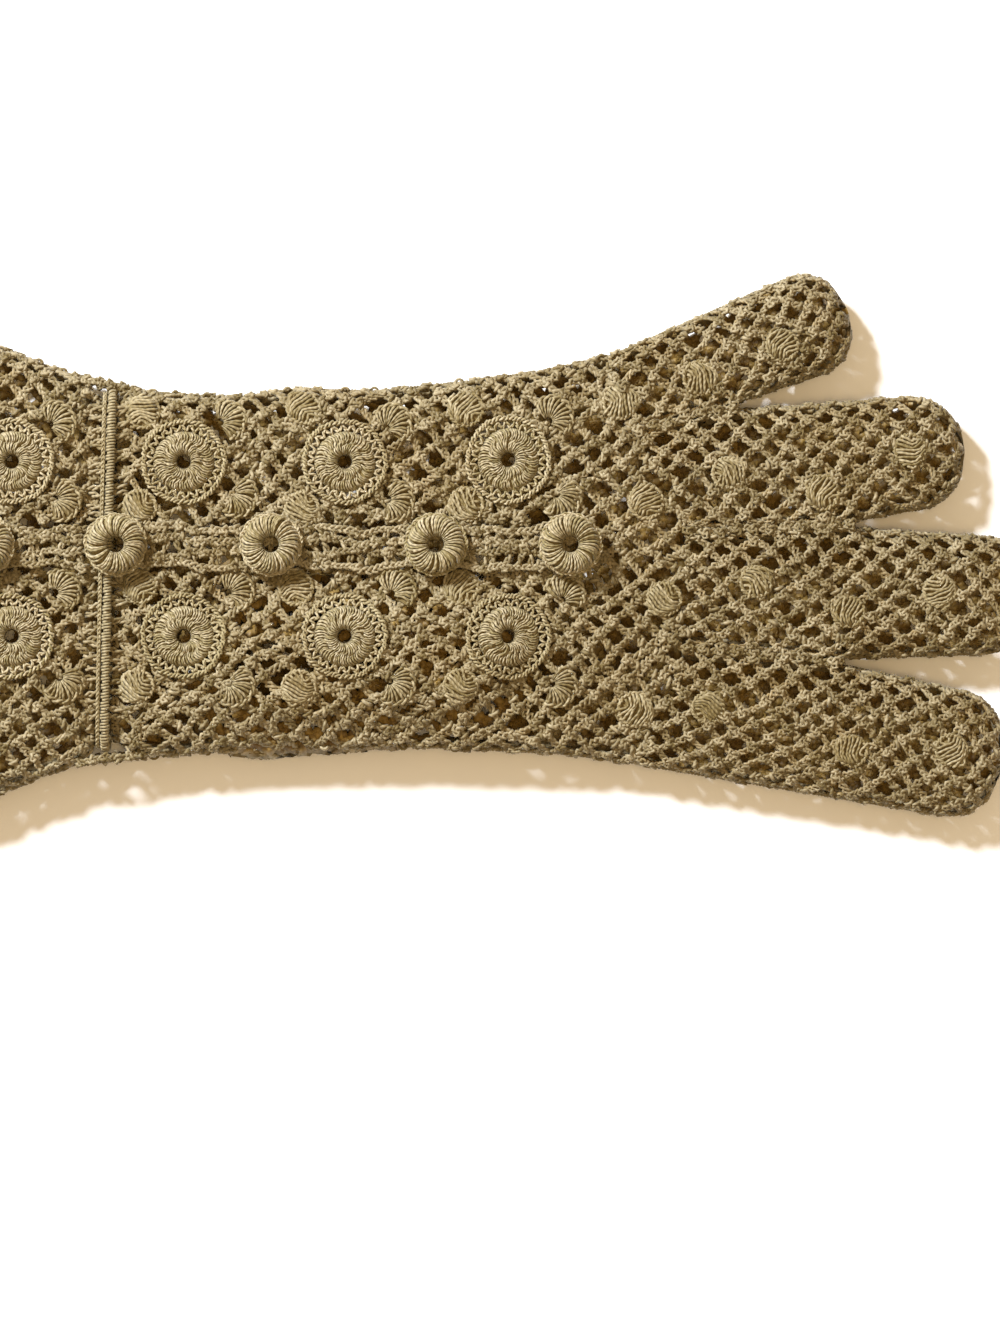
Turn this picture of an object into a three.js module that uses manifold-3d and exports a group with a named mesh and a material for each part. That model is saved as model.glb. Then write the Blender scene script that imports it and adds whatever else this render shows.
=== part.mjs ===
// Crochet glove lying flat, back of the hand up. Fingers point along +X, the little finger's
// side is +Y. While it is built, X = 0 is the wrist seam and Y = 0 is the row of buttons.
import * as THREE from "three";
import { mergeVertices } from "three/addons/utils/BufferGeometryUtils.js";
import Module from "manifold-3d";

const wasm = await Module();
wasm.setup();

// Driving dimensions in millimetres
const HAND_LENGTH = 116.4; // wrist seam to the root of the middle finger
const PALM_WIDTH = 72.6; // flat width of the hand at its narrowest
const HAND_HEIGHT = 12;
const CUFF_LENGTH = 61;
const HEM_WIDTH = 121;
const HEM_EDGING_LENGTH = 3;
const HEM_EDGING_RISE = 0.5; // the edging row stands this much outside the net
const FINGER_HEIGHT = 10;
const THUMB_LENGTH = 60;
const THUMB_WIDTH = 21;
const THUMB_HEIGHT = 8;
const THUMB_MOUTH_LENGTH = 18;
const THUMB_MOUTH_WIDTH = 13;
const NET_WALL = 1.7;
const PIECE_GAP = 0.3; // clearance between neighbouring pieces
const REST_FLAT = 0.35; // how far the round underside is pressed flat where it rests
const WRIST_CORD_WIDTH = 3.2;
const WRIST_CORD_THICKNESS = 2;
const WRIST_CORD_GAP = 1.2 * PIECE_GAP; // the cord's clearance over the net it goes round
const WRIST_PINCH_LENGTH = 6; // how far from the seam the net is drawn in by the cord
const WRIST_SLANT = 0.022; // the seam leans this much along X for each millimetre of Y
const PLACKET_WIDTH = 9;
const PLACKET_THICKNESS = 1.1;
const PLACKET_SHIFT = -0.5; // the rows lie a little towards the index finger
const BUTTON_DIAMETER = 12;
const BUTTON_HOLE = 2.7;
const BUTTON_HEIGHT = 3;
const MOTIF_DIAMETER = 17.4;
const MOTIF_HOLE = 3.2;
const GAP_LENGTH = 5.4; // long diagonal of an opening in the net
const GAP_WIDTH = 4.4;
const BACK_GAP_PITCH_X = 12.6;
const BACK_GAP_PITCH_Y = 11.6;
const PALM_GAP_PITCH_X = 24;
const PALM_GAP_PITCH_Y = 18;
const FINGER_GAP_PITCH = 9.2;

// Flat width on each side of the button row, as shares of the palm width.
// along is a share of the way from the wrist seam to the knuckles.
const HAND_OUTLINE = [
  { along: 0.0, little: 0.437, index: 0.573 },
  { along: 0.07, little: 0.43, index: 0.59 },
  { along: 0.24, little: 0.414, index: 0.57 },
  { along: 0.36, little: 0.438, index: 0.566 },
  { along: 0.52, little: 0.432, index: 0.56 },
  { along: 0.7, little: 0.458, index: 0.57 },
  { along: 0.86, little: 0.488, index: 0.583 },
  { along: 1.0, little: 0.532, index: 0.614 },
];

// The five ends of the finger roots: along as a share of the hand length,
// across as a share of the palm width, and the web that joins two fingers beyond the root.
const KNUCKLES = [
  { along: 0.863, across: 0.532 },
  { along: 0.914, across: 0.322, web: 18.9 },
  { along: 1.0, across: 0.036, web: 31.6 },
  { along: 1.0, across: -0.284, web: 30.1 },
  { along: 0.914, across: -0.614 },
];

// Fingers from the little finger on: length from the root's middle to the tip, flat width,
// splay in degrees from +X, and the length of the round tip as a share of the width.
const FINGERS = [
  { name: "little_finger", length: 47.4, width: 21.6, splay: 19.7, tip: 0.45 },
  { name: "ring_finger", length: 60.4, width: 24, splay: 6.2, tip: 0.52 },
  { name: "middle_finger", length: 69, width: 25, splay: -1, tip: 0.48 },
  { name: "index_finger", length: 68.8, width: 26.6, splay: -8.9, tip: 0.46 },
];

// Thumb on the palm side: where its closed root end lies and where it points
const THUMB_START = { along: 0.17, across: -0.36 };
const THUMB_SPLAY = 5;
const THUMB_MOUTH_SHARE = 0.23; // middle of its mouth, as a share of its length
const THUMB_FALLOFF = 6; // how far beside the thumb the palm comes back down
const THUMB_RISE_REACH = 1.3 * THUMB_FALLOFF; // over how far the back comes back down
const THUMB_END_FALL = 0.7; // how fast its ends thin: the exponent of their spread
const THUMB_SWELL = 2.4; // how much higher the back lies over the thumb

// Buttons along the placket, as shares of the hand length or, before the wrist, of the cuff
const HAND_BUTTONS = [0.282, 0.564, 0.794];
const CUFF_BUTTONS = [0.4, 0.82];
const WRIST_BUTTON = 0.017;

// Large round motifs: two rows, each motif placed along the hand or the cuff
const HAND_MOTIFS = [0.132, 0.408, 0.688];
const CUFF_MOTIFS = [0.31, 0.8];
const MOTIF_ROWS = [
  { name: "little", across: 0.228 },
  { name: "index", across: -0.252 },
];

// Section of a large round motif: share of the way from its hole to its rim, rise above the net
const MOTIF_PROFILE = [
  { share: 0, rise: 0.5 },
  { share: 0.3, rise: 1.1 },
  { share: 0.72, rise: 0.8 },
  { share: 1, rise: 0.35 },
];

// Section of a button: share of the way from its hole to its rim, share of its height
const BUTTON_PROFILE = [
  { share: 0, rise: 0.25 },
  { share: 0.15, rise: 0 },
  { share: 0.88, rise: 0 },
  { share: 1, rise: 0.3 },
  { share: 0.75, rise: 0.85 },
  { share: 0.35, rise: 1 },
];

// Section of the placket: its rows side by side, each with a flat top and a groove at its edges
const PLACKET_ROWS = 3;
const PLACKET_GROOVE = 0.5; // share of the thickness left under a groove
const PLACKET_CHAMFER = 0.28; // share of a row's width taken by each sloping side

// Rings of the cuff between the wrist and the hem, as shares of its length
const CUFF_STATIONS = [0.3, 0.62, 1];

// Counts of facets
const HAND_FACETS = 28;
const FINGER_FACETS = 12;
const ROUND_FACETS = 14;
const CORD_FACETS = 6;

// Values worked out from the driving dimensions
const HAND_SQUARENESS = 4; // 2 is an ellipse, more is flatter with tighter edges
const FINGER_SQUARENESS = 3.2;
const THUMB_SQUARENESS = 2.6;
const PINCH_TOP = 0.7 * WRIST_CORD_THICKNESS; // the cord stands a little proud of the back
const PINCH_BOTTOM = WRIST_CORD_THICKNESS + 2 * PIECE_GAP;
const PINCH_SIDE = WRIST_CORD_THICKNESS + PIECE_GAP;
const PLACKET_BASE = HAND_HEIGHT + PIECE_GAP;
const BUTTON_BASE = PLACKET_BASE + PLACKET_THICKNESS + PIECE_GAP;
const TAPER_START = 0.75; // share of the hand where it starts to thin towards the fingers
const TAPER_LATE = 0.7; // share of that stretch with a station of its own
const CUT_REACH = HAND_HEIGHT / 2; // how far cutters run past the net
const SEAM_MARGIN = 1.2; // net left between an opening and a seam, an edge or an ornament
const TIP_ROUNDNESS = 2.4; // 2 is an ellipse, more is blunter
const TIP_SHARES = [0.45, 0.78, 0.95, 1]; // rings of a finger's round tip
const THUMB_END_SHARES = [0, 0.06, 0.28, 1]; // rings of the thumb's round ends
const SLIVER = 0.05; // smallest half size of a ring at a closed tip
const MERGE_DISTANCE = 1e-4; // corners nearer than this are one

const YARN_COLOUR = 0xb09a6c;
const NET_COLOUR = 0xa08a5e;

function yarn(colour) {
  return new THREE.MeshStandardMaterial({ color: colour, roughness: 0.95, metalness: 0 });
}

// Solids and booleans

function toSolid(geometry) {
  const bare = new THREE.BufferGeometry();
  bare.setAttribute("position", geometry.getAttribute("position").clone());
  if (geometry.index) bare.setIndex(geometry.index.clone());
  const merged = mergeVertices(bare, MERGE_DISTANCE);
  const mesh = new wasm.Mesh({
    numProp: 3,
    vertProperties: Float32Array.from(merged.getAttribute("position").array),
    triVerts: Uint32Array.from(merged.index.array),
  });
  return new wasm.Manifold(mesh);
}

function toGeometry(solid) {
  const mesh = solid.getMesh();
  const geometry = new THREE.BufferGeometry();
  geometry.setAttribute("position", new THREE.BufferAttribute(mesh.vertProperties, 3));
  geometry.setIndex(new THREE.BufferAttribute(mesh.triVerts, 1));
  geometry.computeVertexNormals();
  return geometry;
}

function subtractAll(solid, cutters) {
  return cutters.reduce((rest, cutter) => rest.subtract(cutter), solid);
}

// A closed body lofted through rings of equal counts, with a flat fan over each end ring.
function loft(rings) {
  const count = rings[0].length;
  const points = rings.flat();
  const faces = [];
  for (let k = 0; k + 1 < rings.length; k += 1) {
    for (let j = 0; j < count; j += 1) {
      const a = k * count + j;
      const b = k * count + ((j + 1) % count);
      faces.push(a, b, b + count, a, b + count, a + count);
    }
  }
  const last = (rings.length - 1) * count;
  const startPole = points.length;
  points.push(centroid(rings[0]), centroid(rings[rings.length - 1]));
  for (let j = 0; j < count; j += 1) {
    const next = (j + 1) % count;
    faces.push(startPole, next, j, startPole + 1, last + j, last + next);
  }
  return outwardGeometry(points, faces);
}

function centroid(ring) {
  const sum = new THREE.Vector3();
  ring.forEach((point) => sum.add(point));
  return sum.divideScalar(ring.length);
}

// A closed loop swept through sections of equal counts.
function loopLoft(sections) {
  const count = sections[0].length;
  const total = sections.length;
  const faces = [];
  for (let k = 0; k < total; k += 1) {
    for (let j = 0; j < count; j += 1) {
      const a = k * count + j;
      const b = k * count + ((j + 1) % count);
      const c = ((k + 1) % total) * count + ((j + 1) % count);
      const d = ((k + 1) % total) * count + j;
      faces.push(a, b, c, a, c, d);
    }
  }
  return outwardGeometry(sections.flat(), faces);
}

function outwardGeometry(points, faces) {
  const geometry = new THREE.BufferGeometry().setFromPoints(points);
  let volume = 0;
  for (let f = 0; f < faces.length; f += 3) {
    const [a, b, c] = [points[faces[f]], points[faces[f + 1]], points[faces[f + 2]]];
    volume += new THREE.Vector3().crossVectors(a, b).dot(c);
  }
  if (volume < 0) faces.reverse();
  geometry.setIndex(faces);
  geometry.computeVertexNormals();
  return geometry;
}

// The glove's form

function clamp(value, low, high) {
  return Math.min(high, Math.max(low, value));
}

function smooth(value) {
  const t = clamp(value, 0, 1);
  return t * t * (3 - 2 * t);
}

function fromTable(rows, along, column) {
  const next = rows.findIndex((row) => row.along >= along);
  if (next <= 0) return rows[next < 0 ? rows.length - 1 : 0][column];
  const [a, b] = [rows[next - 1], rows[next]];
  return THREE.MathUtils.mapLinear(along, a.along, b.along, a[column], b[column]);
}

// Height of a flattened round section at share u of its half width: 1 in the middle, 0 at the edge.
function roundness(u, squareness) {
  return (1 - Math.min(1, Math.abs(u)) ** squareness) ** (1 / squareness);
}

// Shares of half width and half height at each facet corner of a flattened round section.
function sectionShares(count, squareness) {
  const half = count / 2;
  return Array.from({ length: count }, (_, j) => {
    const k = j < half ? j : count - j;
    const u = (Math.cos((Math.PI * k) / half) + 1 - (2 * k) / half) / 2;
    const side = k === 0 || k === half ? 0 : 1;
    return { u, w: (j < half ? side : -side) * roundness(u, squareness) };
  });
}

// Unit vector in plan, turned from +X
function heading(degrees) {
  return new THREE.Vector2(1, 0).rotateAround(new THREE.Vector2(), THREE.MathUtils.degToRad(degrees));
}

function knucklePoint(knuckle) {
  return new THREE.Vector2(knuckle.along * HAND_LENGTH, knuckle.across * PALM_WIDTH);
}

// How far the hand reaches along X at a place across it, from the wrist to the finger roots.
function handReach(across) {
  const points = KNUCKLES.map(knucklePoint);
  const next = points.findIndex((point) => point.y <= across);
  if (next <= 0) return points[next < 0 ? points.length - 1 : 0].x;
  const [a, b] = [points[next - 1], points[next]];
  return THREE.MathUtils.mapLinear(across, a.y, b.y, a.x, b.x);
}

function wristX(y) {
  return WRIST_SLANT * y;
}

// How much of the wrist cord's pinch is felt at a distance from the seam.
function pinchShare(distance) {
  const held = WRIST_CORD_WIDTH / 2 + PIECE_GAP;
  return 1 - smooth((Math.abs(distance) - held) / (WRIST_PINCH_LENGTH - held));
}

// Edges, bottom and top of the net's outside at a share along the hand (+) or the cuff (-).
function netSection(along) {
  const wrist = HAND_OUTLINE[0];
  let high = fromTable(HAND_OUTLINE, Math.max(0, along), "little") * PALM_WIDTH;
  let low = -fromTable(HAND_OUTLINE, Math.max(0, along), "index") * PALM_WIDTH;
  const wristWidth = (wrist.little + wrist.index) * PALM_WIDTH;
  const flare = (Math.max(0, -along) * (HEM_WIDTH - wristWidth)) / 2;
  high += flare;
  low -= flare;
  const distance = along * (along < 0 ? CUFF_LENGTH : HAND_LENGTH);
  const pinch = pinchShare(distance);
  return {
    high: high - pinch * PINCH_SIDE,
    low: low + pinch * PINCH_SIDE,
    bottom: pinch * PINCH_BOTTOM,
    top: HAND_HEIGHT - pinch * PINCH_TOP - endTaper(along),
  };
}

// The hand thins from the palm's height to the fingers' height at the knuckles.
function endTaper(along) {
  return (HAND_HEIGHT - FINGER_HEIGHT) * smooth((along - TAPER_START) / (1 - TAPER_START));
}

const thumbStart = new THREE.Vector2(THUMB_START.along * HAND_LENGTH, THUMB_START.across * PALM_WIDTH);
const thumbWay = heading(THUMB_SPLAY);

// Distance outside the thumb's plan outline, negative inside it.
function thumbDistance(x, y) {
  const radius = THUMB_WIDTH / 2;
  const offset = new THREE.Vector2(x, y).sub(thumbStart);
  const along = clamp(offset.dot(thumbWay), radius, THUMB_LENGTH - radius);
  return offset.distanceTo(thumbWay.clone().multiplyScalar(along)) - radius;
}

// The palm arches over the thumb, and the back of the hand swells a little above it.
function thumbLift(x, y) {
  const reach = THUMB_WIDTH / 2 + THUMB_FALLOFF;
  const u = (thumbDistance(x, y) + THUMB_WIDTH / 2) / reach;
  return u >= 1 ? 0 : (THUMB_HEIGHT + 2 * PIECE_GAP) * roundness(u, THUMB_SQUARENESS + 1);
}

function thumbSwell(x, y) {
  return THUMB_SWELL * (1 - smooth((thumbDistance(x, y) + THUMB_FALLOFF / 2) / THUMB_RISE_REACH));
}

// One ring of the net. inset is 0 on the outside and the wall on the inside. pushX moves it along X.
function netRing(along, inset, pushX) {
  const { high, low, bottom, top } = netSection(along);
  const middleY = (high + low) / 2;
  const halfWidth = (high - low) / 2 - inset;
  const middleZ = (top + bottom) / 2;
  const halfHeight = (top - bottom) / 2;
  return sectionShares(HAND_FACETS, HAND_SQUARENESS).map(({ u, w }) => {
    const y = middleY + u * halfWidth;
    const reach = along < 0 ? CUFF_LENGTH + wristX(y) : handReach(y) - wristX(y);
    const x = wristX(y) + along * reach + pushX;
    const sink = w < 0 ? REST_FLAT : 0;
    let z = middleZ + w * (halfHeight - inset + sink);
    if (w < 0) z = Math.max(z, bottom + inset, thumbLift(x, y) + inset, 0);
    if (w > 0) z += w * thumbSwell(x, y);
    return new THREE.Vector3(x, y, z);
  });
}

// Height of the back's outside at a place in plan.
function backHeight(x, y) {
  const along = x < 0 ? x / CUFF_LENGTH : x / handReach(y);
  const { high, low, bottom, top } = netSection(along);
  const u = (y - (high + low) / 2) / ((high - low) / 2);
  const w = roundness(u, HAND_SQUARENESS);
  return (top + bottom) / 2 + w * ((top - bottom) / 2 + thumbSwell(x, y));
}

// A height inside the hollow, between the palm's wall and the back's wall.
function hollowHeight(x, y) {
  const floor = thumbLift(x, y) + NET_WALL;
  return (floor + backHeight(x, y) - NET_WALL) / 2;
}

// An upright prism of a plan outline, as a cutter
function prism(outline, x, y, low, high) {
  const geometry = new THREE.ExtrudeGeometry(new THREE.Shape(outline), {
    depth: high - low,
    bevelEnabled: false,
  });
  geometry.translate(x, y, low);
  return toSolid(geometry);
}

function diamond(length, width) {
  return [
    new THREE.Vector2(length / 2, 0),
    new THREE.Vector2(0, width / 2),
    new THREE.Vector2(-length / 2, 0),
    new THREE.Vector2(0, -width / 2),
  ];
}

function turnedOutline(outline, way) {
  return outline.map((point) => point.rotateAround(new THREE.Vector2(), way.angle()));
}

function oval(length, width, count) {
  return new THREE.EllipseCurve(0, 0, length / 2, width / 2).getPoints(count).slice(0, count);
}

// Where the large motifs are set
function motifPlaces() {
  const places = [];
  MOTIF_ROWS.forEach(({ name, across }) => {
    const y = across * PALM_WIDTH;
    CUFF_MOTIFS.forEach((share, i) => {
      places.push({ name: `ring_motif_cuff_${name}_${i + 1}`, x: -share * CUFF_LENGTH, y });
    });
    HAND_MOTIFS.forEach((share, i) => {
      places.push({ name: `ring_motif_hand_${name}_${i + 1}`, x: share * HAND_LENGTH, y });
    });
  });
  return places;
}

const motifs = motifPlaces();

function distance(ax, ay, bx, by) {
  return Math.hypot(ax - bx, ay - by);
}

// Is a place in the net's plan free of edges, seams and ornaments, with room for an opening?
function netHasRoom(x, y, upper) {
  const room = GAP_LENGTH / 2 + SEAM_MARGIN;
  const along = x < 0 ? x / CUFF_LENGTH : x / handReach(y);
  const { high, low } = netSection(along);
  const insideOutline = y < high - room - NET_WALL && y > low + room + NET_WALL;
  const insideLength = along < 1 - room / HAND_LENGTH && along > -1 + room / CUFF_LENGTH;
  const clearOfWrist = Math.abs(x - wristX(y)) > WRIST_PINCH_LENGTH + SEAM_MARGIN;
  if (!insideOutline || !insideLength || !clearOfWrist) return false;
  if (!upper) return thumbDistance(x, y) > THUMB_FALLOFF + room && Math.abs(y) > GAP_WIDTH;
  const clearOfPlacket = Math.abs(y - PLACKET_SHIFT) > PLACKET_WIDTH / 2 + GAP_WIDTH / 2;
  const motifRoom = MOTIF_DIAMETER / 2 + room;
  const clearOfMotifs = motifs.every((motif) => distance(x, y, motif.x, motif.y) > motifRoom);
  return clearOfPlacket && clearOfMotifs;
}

// Openings on a staggered lattice over a stretch of the net, through the back or the palm.
function netGaps(fromX, toX, upper) {
  const cutters = [];
  const pitchX = upper ? BACK_GAP_PITCH_X : PALM_GAP_PITCH_X;
  const pitchY = upper ? BACK_GAP_PITCH_Y : PALM_GAP_PITCH_Y;
  const columns = Math.ceil((toX - fromX) / (pitchX / 2));
  const rows = Math.ceil(HEM_WIDTH / 2 / pitchY);
  for (let i = 0; i <= columns; i += 1) {
    for (let j = -rows; j <= rows; j += 1) {
      const x = fromX + (i * pitchX) / 2;
      const y = (j + (i % 2) / 2) * pitchY;
      if (netHasRoom(x, y, upper)) {
        const middle = hollowHeight(x, y);
        const low = upper ? middle : -CUT_REACH;
        const high = upper ? HAND_HEIGHT + CUT_REACH : middle;
        cutters.push(prism(diamond(GAP_LENGTH, GAP_WIDTH), x, y, low, high));
      }
    }
  }
  return cutters;
}

function motifCutters(places) {
  const size = MOTIF_DIAMETER + 2 * PIECE_GAP;
  return places.map(({ x, y }) => {
    const rim = oval(size, size, ROUND_FACETS).map((p) => new THREE.Vector3(x + p.x, y + p.y, 0));
    const low = rim.map((p) => p.clone().setZ(hollowHeight(p.x, p.y)));
    const high = rim.map((p) => p.clone().setZ(HAND_HEIGHT + CUT_REACH));
    return toSolid(loft([low, high]));
  });
}

function buildHand() {
  const stations = [...wristStations(HAND_LENGTH), ...HAND_OUTLINE.slice(2).map((row) => row.along)];
  const half = THUMB_FALLOFF / 2;
  const thumbEnds = [thumbStart.x - half, thumbStart.x + half, thumbStart.x + THUMB_LENGTH];
  stations.push(...thumbEnds.map((x) => x / HAND_LENGTH), TAPER_START + TAPER_LATE * (1 - TAPER_START));
  stations.sort((a, b) => a - b);
  const ends = { first: 0, last: 1 };
  const outerRings = stations.map((along) => netRing(along, 0, along === ends.first ? PIECE_GAP / 2 : 0));
  const innerRings = stations.map((along) => netRing(along, NET_WALL, endPush(along, ends)));
  const outer = toSolid(loft(outerRings));
  const inner = toSolid(loft(innerRings));
  const mouth = thumbMouth(hollowHeight(thumbMouthX(), thumbMouthY()), -CUT_REACH, 0);
  const onHand = (place) => place.x > 0;
  return subtractAll(outer, [
    inner,
    toSolid(loft(thumbRings(-PIECE_GAP))),
    ...motifCutters(motifs.filter(onHand)),
    ...netGaps(WRIST_PINCH_LENGTH, HAND_LENGTH, true),
    ...netGaps(WRIST_PINCH_LENGTH, HAND_LENGTH, false),
    mouth,
  ]);
}

// The seam itself, the end of the stretch that the cord holds, and the end of its pinch
function wristStations(length) {
  return [0, (WRIST_CORD_WIDTH / 2 + PIECE_GAP) / length, WRIST_PINCH_LENGTH / length];
}

// The hollow's cutter runs past both ends of the net.
function endPush(along, ends) {
  if (along === ends.first) return -1;
  return along === ends.last ? 1 : 0;
}

function thumbMouthX() {
  return thumbStart.x + thumbWay.x * THUMB_MOUTH_SHARE * THUMB_LENGTH;
}

function thumbMouthY() {
  return thumbStart.y + thumbWay.y * THUMB_MOUTH_SHARE * THUMB_LENGTH;
}

function thumbMouth(high, low, inset) {
  const outline = oval(THUMB_MOUTH_LENGTH - 2 * inset, THUMB_MOUTH_WIDTH - 2 * inset, ROUND_FACETS);
  return prism(turnedOutline(outline, thumbWay), thumbMouthX(), thumbMouthY(), low, high);
}

function buildCuff() {
  const stations = [...wristStations(CUFF_LENGTH), ...CUFF_STATIONS].map((share) => -share);
  const ends = { first: -1, last: 0 };
  const outer = toSolid(loft(stations.map((along) => netRing(along, 0, along === 0 ? -PIECE_GAP / 2 : 0))));
  const inner = toSolid(loft(stations.map((along) => netRing(along, NET_WALL, endPush(along, ends)))));
  const onCuff = (place) => place.x < 0;
  return subtractAll(outer.subtract(inner), [
    ...motifCutters(motifs.filter(onCuff)),
    ...netGaps(-CUFF_LENGTH, -WRIST_PINCH_LENGTH, true),
    ...netGaps(-CUFF_LENGTH, -WRIST_PINCH_LENGTH, false),
  ]);
}

function buildHem() {
  const near = -PIECE_GAP;
  const far = near - HEM_EDGING_LENGTH;
  const outer = toSolid(loft([near, far].map((push) => netRing(-1, -HEM_EDGING_RISE, push))));
  const inner = toSolid(loft([near + 1, far - 1].map((push) => netRing(-1, NET_WALL, push))));
  return outer.subtract(inner);
}

// Fingers

// The two edges of a finger in plan, root to shoulder, with its root's middle and its heading.
function fingerPlan(index) {
  const finger = FINGERS[index];
  const [highRoot, lowRoot] = [knucklePoint(KNUCKLES[index]), knucklePoint(KNUCKLES[index + 1])];
  const root = highRoot.clone().add(lowRoot).multiplyScalar(0.5);
  const way = heading(finger.splay);
  const side = new THREE.Vector2(-way.y, way.x);
  const tip = root.clone().addScaledVector(way, finger.length);
  const shoulder = tip.clone().addScaledVector(way, -finger.tip * finger.width);
  const highShoulder = shoulder.clone().addScaledVector(side, finger.width / 2);
  const lowShoulder = shoulder.clone().addScaledVector(side, -finger.width / 2);
  const high = [highRoot, webPoint(index) ?? highRoot.clone().lerp(highShoulder, 0.5), highShoulder];
  const low = [lowRoot, webPoint(index + 1) ?? lowRoot.clone().lerp(lowShoulder, 0.5), lowShoulder];
  return { high, low, root, way, side, shoulder };
}

// Where two neighbouring fingers part, or null at the hand's outer edges.
function webPoint(knuckle) {
  const web = KNUCKLES[knuckle].web;
  if (!web) return null;
  const way = heading((FINGERS[knuckle - 1].splay + FINGERS[knuckle].splay) / 2);
  return knucklePoint(KNUCKLES[knuckle]).addScaledVector(way, web);
}

// One ring of a flat tube through two points in plan, pressed flat below.
function tubeRing(highPoint, lowPoint, halfHeight, middleZ, squareness) {
  const middle = highPoint.clone().add(lowPoint).multiplyScalar(0.5);
  const half = highPoint.clone().sub(lowPoint).multiplyScalar(0.5);
  return sectionShares(FINGER_FACETS, squareness).map(({ u, w }) => {
    const sink = w < 0 ? REST_FLAT : 0;
    const z = Math.max(middleZ + w * (halfHeight + sink), middleZ - halfHeight);
    return new THREE.Vector3(middle.x + u * half.x, middle.y + u * half.y, z);
  });
}

// The same, drawn in by an inset on both sides.
function insetRing(highPoint, lowPoint, height, inset) {
  const way = highPoint.clone().sub(lowPoint);
  const reach = Math.min(inset, way.length() / 2 - SLIVER);
  way.setLength(reach);
  const halfHeight = Math.max(SLIVER, height / 2);
  const [high, low] = [highPoint.clone().sub(way), lowPoint.clone().add(way)];
  return tubeRing(high, low, halfHeight, FINGER_HEIGHT / 2, FINGER_SQUARENESS);
}

function fingerRings(index, inset) {
  const plan = fingerPlan(index);
  const { width, tip } = FINGERS[index];
  const rootPush = plan.way.clone().multiplyScalar(inset > 0 ? -1 : PIECE_GAP);
  const height = FINGER_HEIGHT - 2 * inset;
  const sideInset = inset + PIECE_GAP / 2;
  const rings = [0, 1, 2].map((k) => {
    const push = k === 0 ? rootPush : new THREE.Vector2();
    const [high, low] = [plan.high[k].clone().add(push), plan.low[k].clone().add(push)];
    return insetRing(high, low, height, sideInset);
  });
  const tipLength = tip * width - inset;
  TIP_SHARES.forEach((share) => {
    const spread = (width / 2 - sideInset) * roundness(share, TIP_ROUNDNESS);
    const centre = plan.shoulder.clone().addScaledVector(plan.way, share * tipLength);
    const high = centre.clone().addScaledVector(plan.side, Math.max(SLIVER, spread));
    const low = centre.clone().addScaledVector(plan.side, -Math.max(SLIVER, spread));
    rings.push(insetRing(high, low, height * roundness(share, TIP_ROUNDNESS), 0));
  });
  return rings;
}

function buildFinger(index) {
  const plan = fingerPlan(index);
  const { width, length, tip } = FINGERS[index];
  const outer = toSolid(loft(fingerRings(index, 0)));
  const inner = toSolid(loft(fingerRings(index, NET_WALL)));
  const outline = turnedOutline(diamond(GAP_LENGTH, GAP_WIDTH), plan.way);
  const gaps = [];
  const columns = Math.floor((length - (tip * width) / 2 - GAP_LENGTH) / FINGER_GAP_PITCH);
  for (let i = 1; i <= columns; i += 1) {
    const across = i % 2 ? [0] : [-1, 1];
    across.forEach((sign) => {
      const spot = plan.root.clone().addScaledVector(plan.way, i * FINGER_GAP_PITCH);
      spot.addScaledVector(plan.side, (sign * width) / 4);
      gaps.push(prism(outline, spot.x, spot.y, FINGER_HEIGHT / 2, HAND_HEIGHT + CUT_REACH));
    });
  }
  return subtractAll(outer.subtract(inner), gaps);
}

// Thumb: a closed flat tube under the palm, open upwards through its mouth
function thumbRing(inset, distanceAlong, spread) {
  const side = new THREE.Vector2(-thumbWay.y, thumbWay.x);
  const centre = thumbStart.clone().addScaledVector(thumbWay, distanceAlong);
  const reach = Math.max(SLIVER, (THUMB_WIDTH / 2) * spread - inset);
  const high = centre.clone().addScaledVector(side, reach);
  const low = centre.clone().addScaledVector(side, -reach);
  const halfHeight = Math.max(SLIVER, (THUMB_HEIGHT / 2) * spread ** THUMB_END_FALL - inset);
  return tubeRing(high, low, halfHeight, THUMB_HEIGHT / 2, THUMB_SQUARENESS);
}

function thumbRings(inset) {
  const half = THUMB_WIDTH / 2;
  const ends = THUMB_END_SHARES.map((share) => ({
    reach: inset + share * (half - inset),
    spread: Math.sqrt(1 - (1 - share) ** 2),
  }));
  return [
    ...ends.map(({ reach, spread }) => thumbRing(inset, reach, spread)),
    thumbRing(inset, THUMB_LENGTH / 2, 1),
    ...ends.toReversed().map(({ reach, spread }) => thumbRing(inset, THUMB_LENGTH - reach, spread)),
  ];
}

function buildThumb() {
  const outer = toSolid(loft(thumbRings(0)));
  const inner = toSolid(loft(thumbRings(NET_WALL)));
  const mouth = thumbMouth(THUMB_HEIGHT + CUT_REACH, THUMB_HEIGHT / 2, PIECE_GAP);
  return outer.subtract(inner).subtract(mouth);
}

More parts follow.
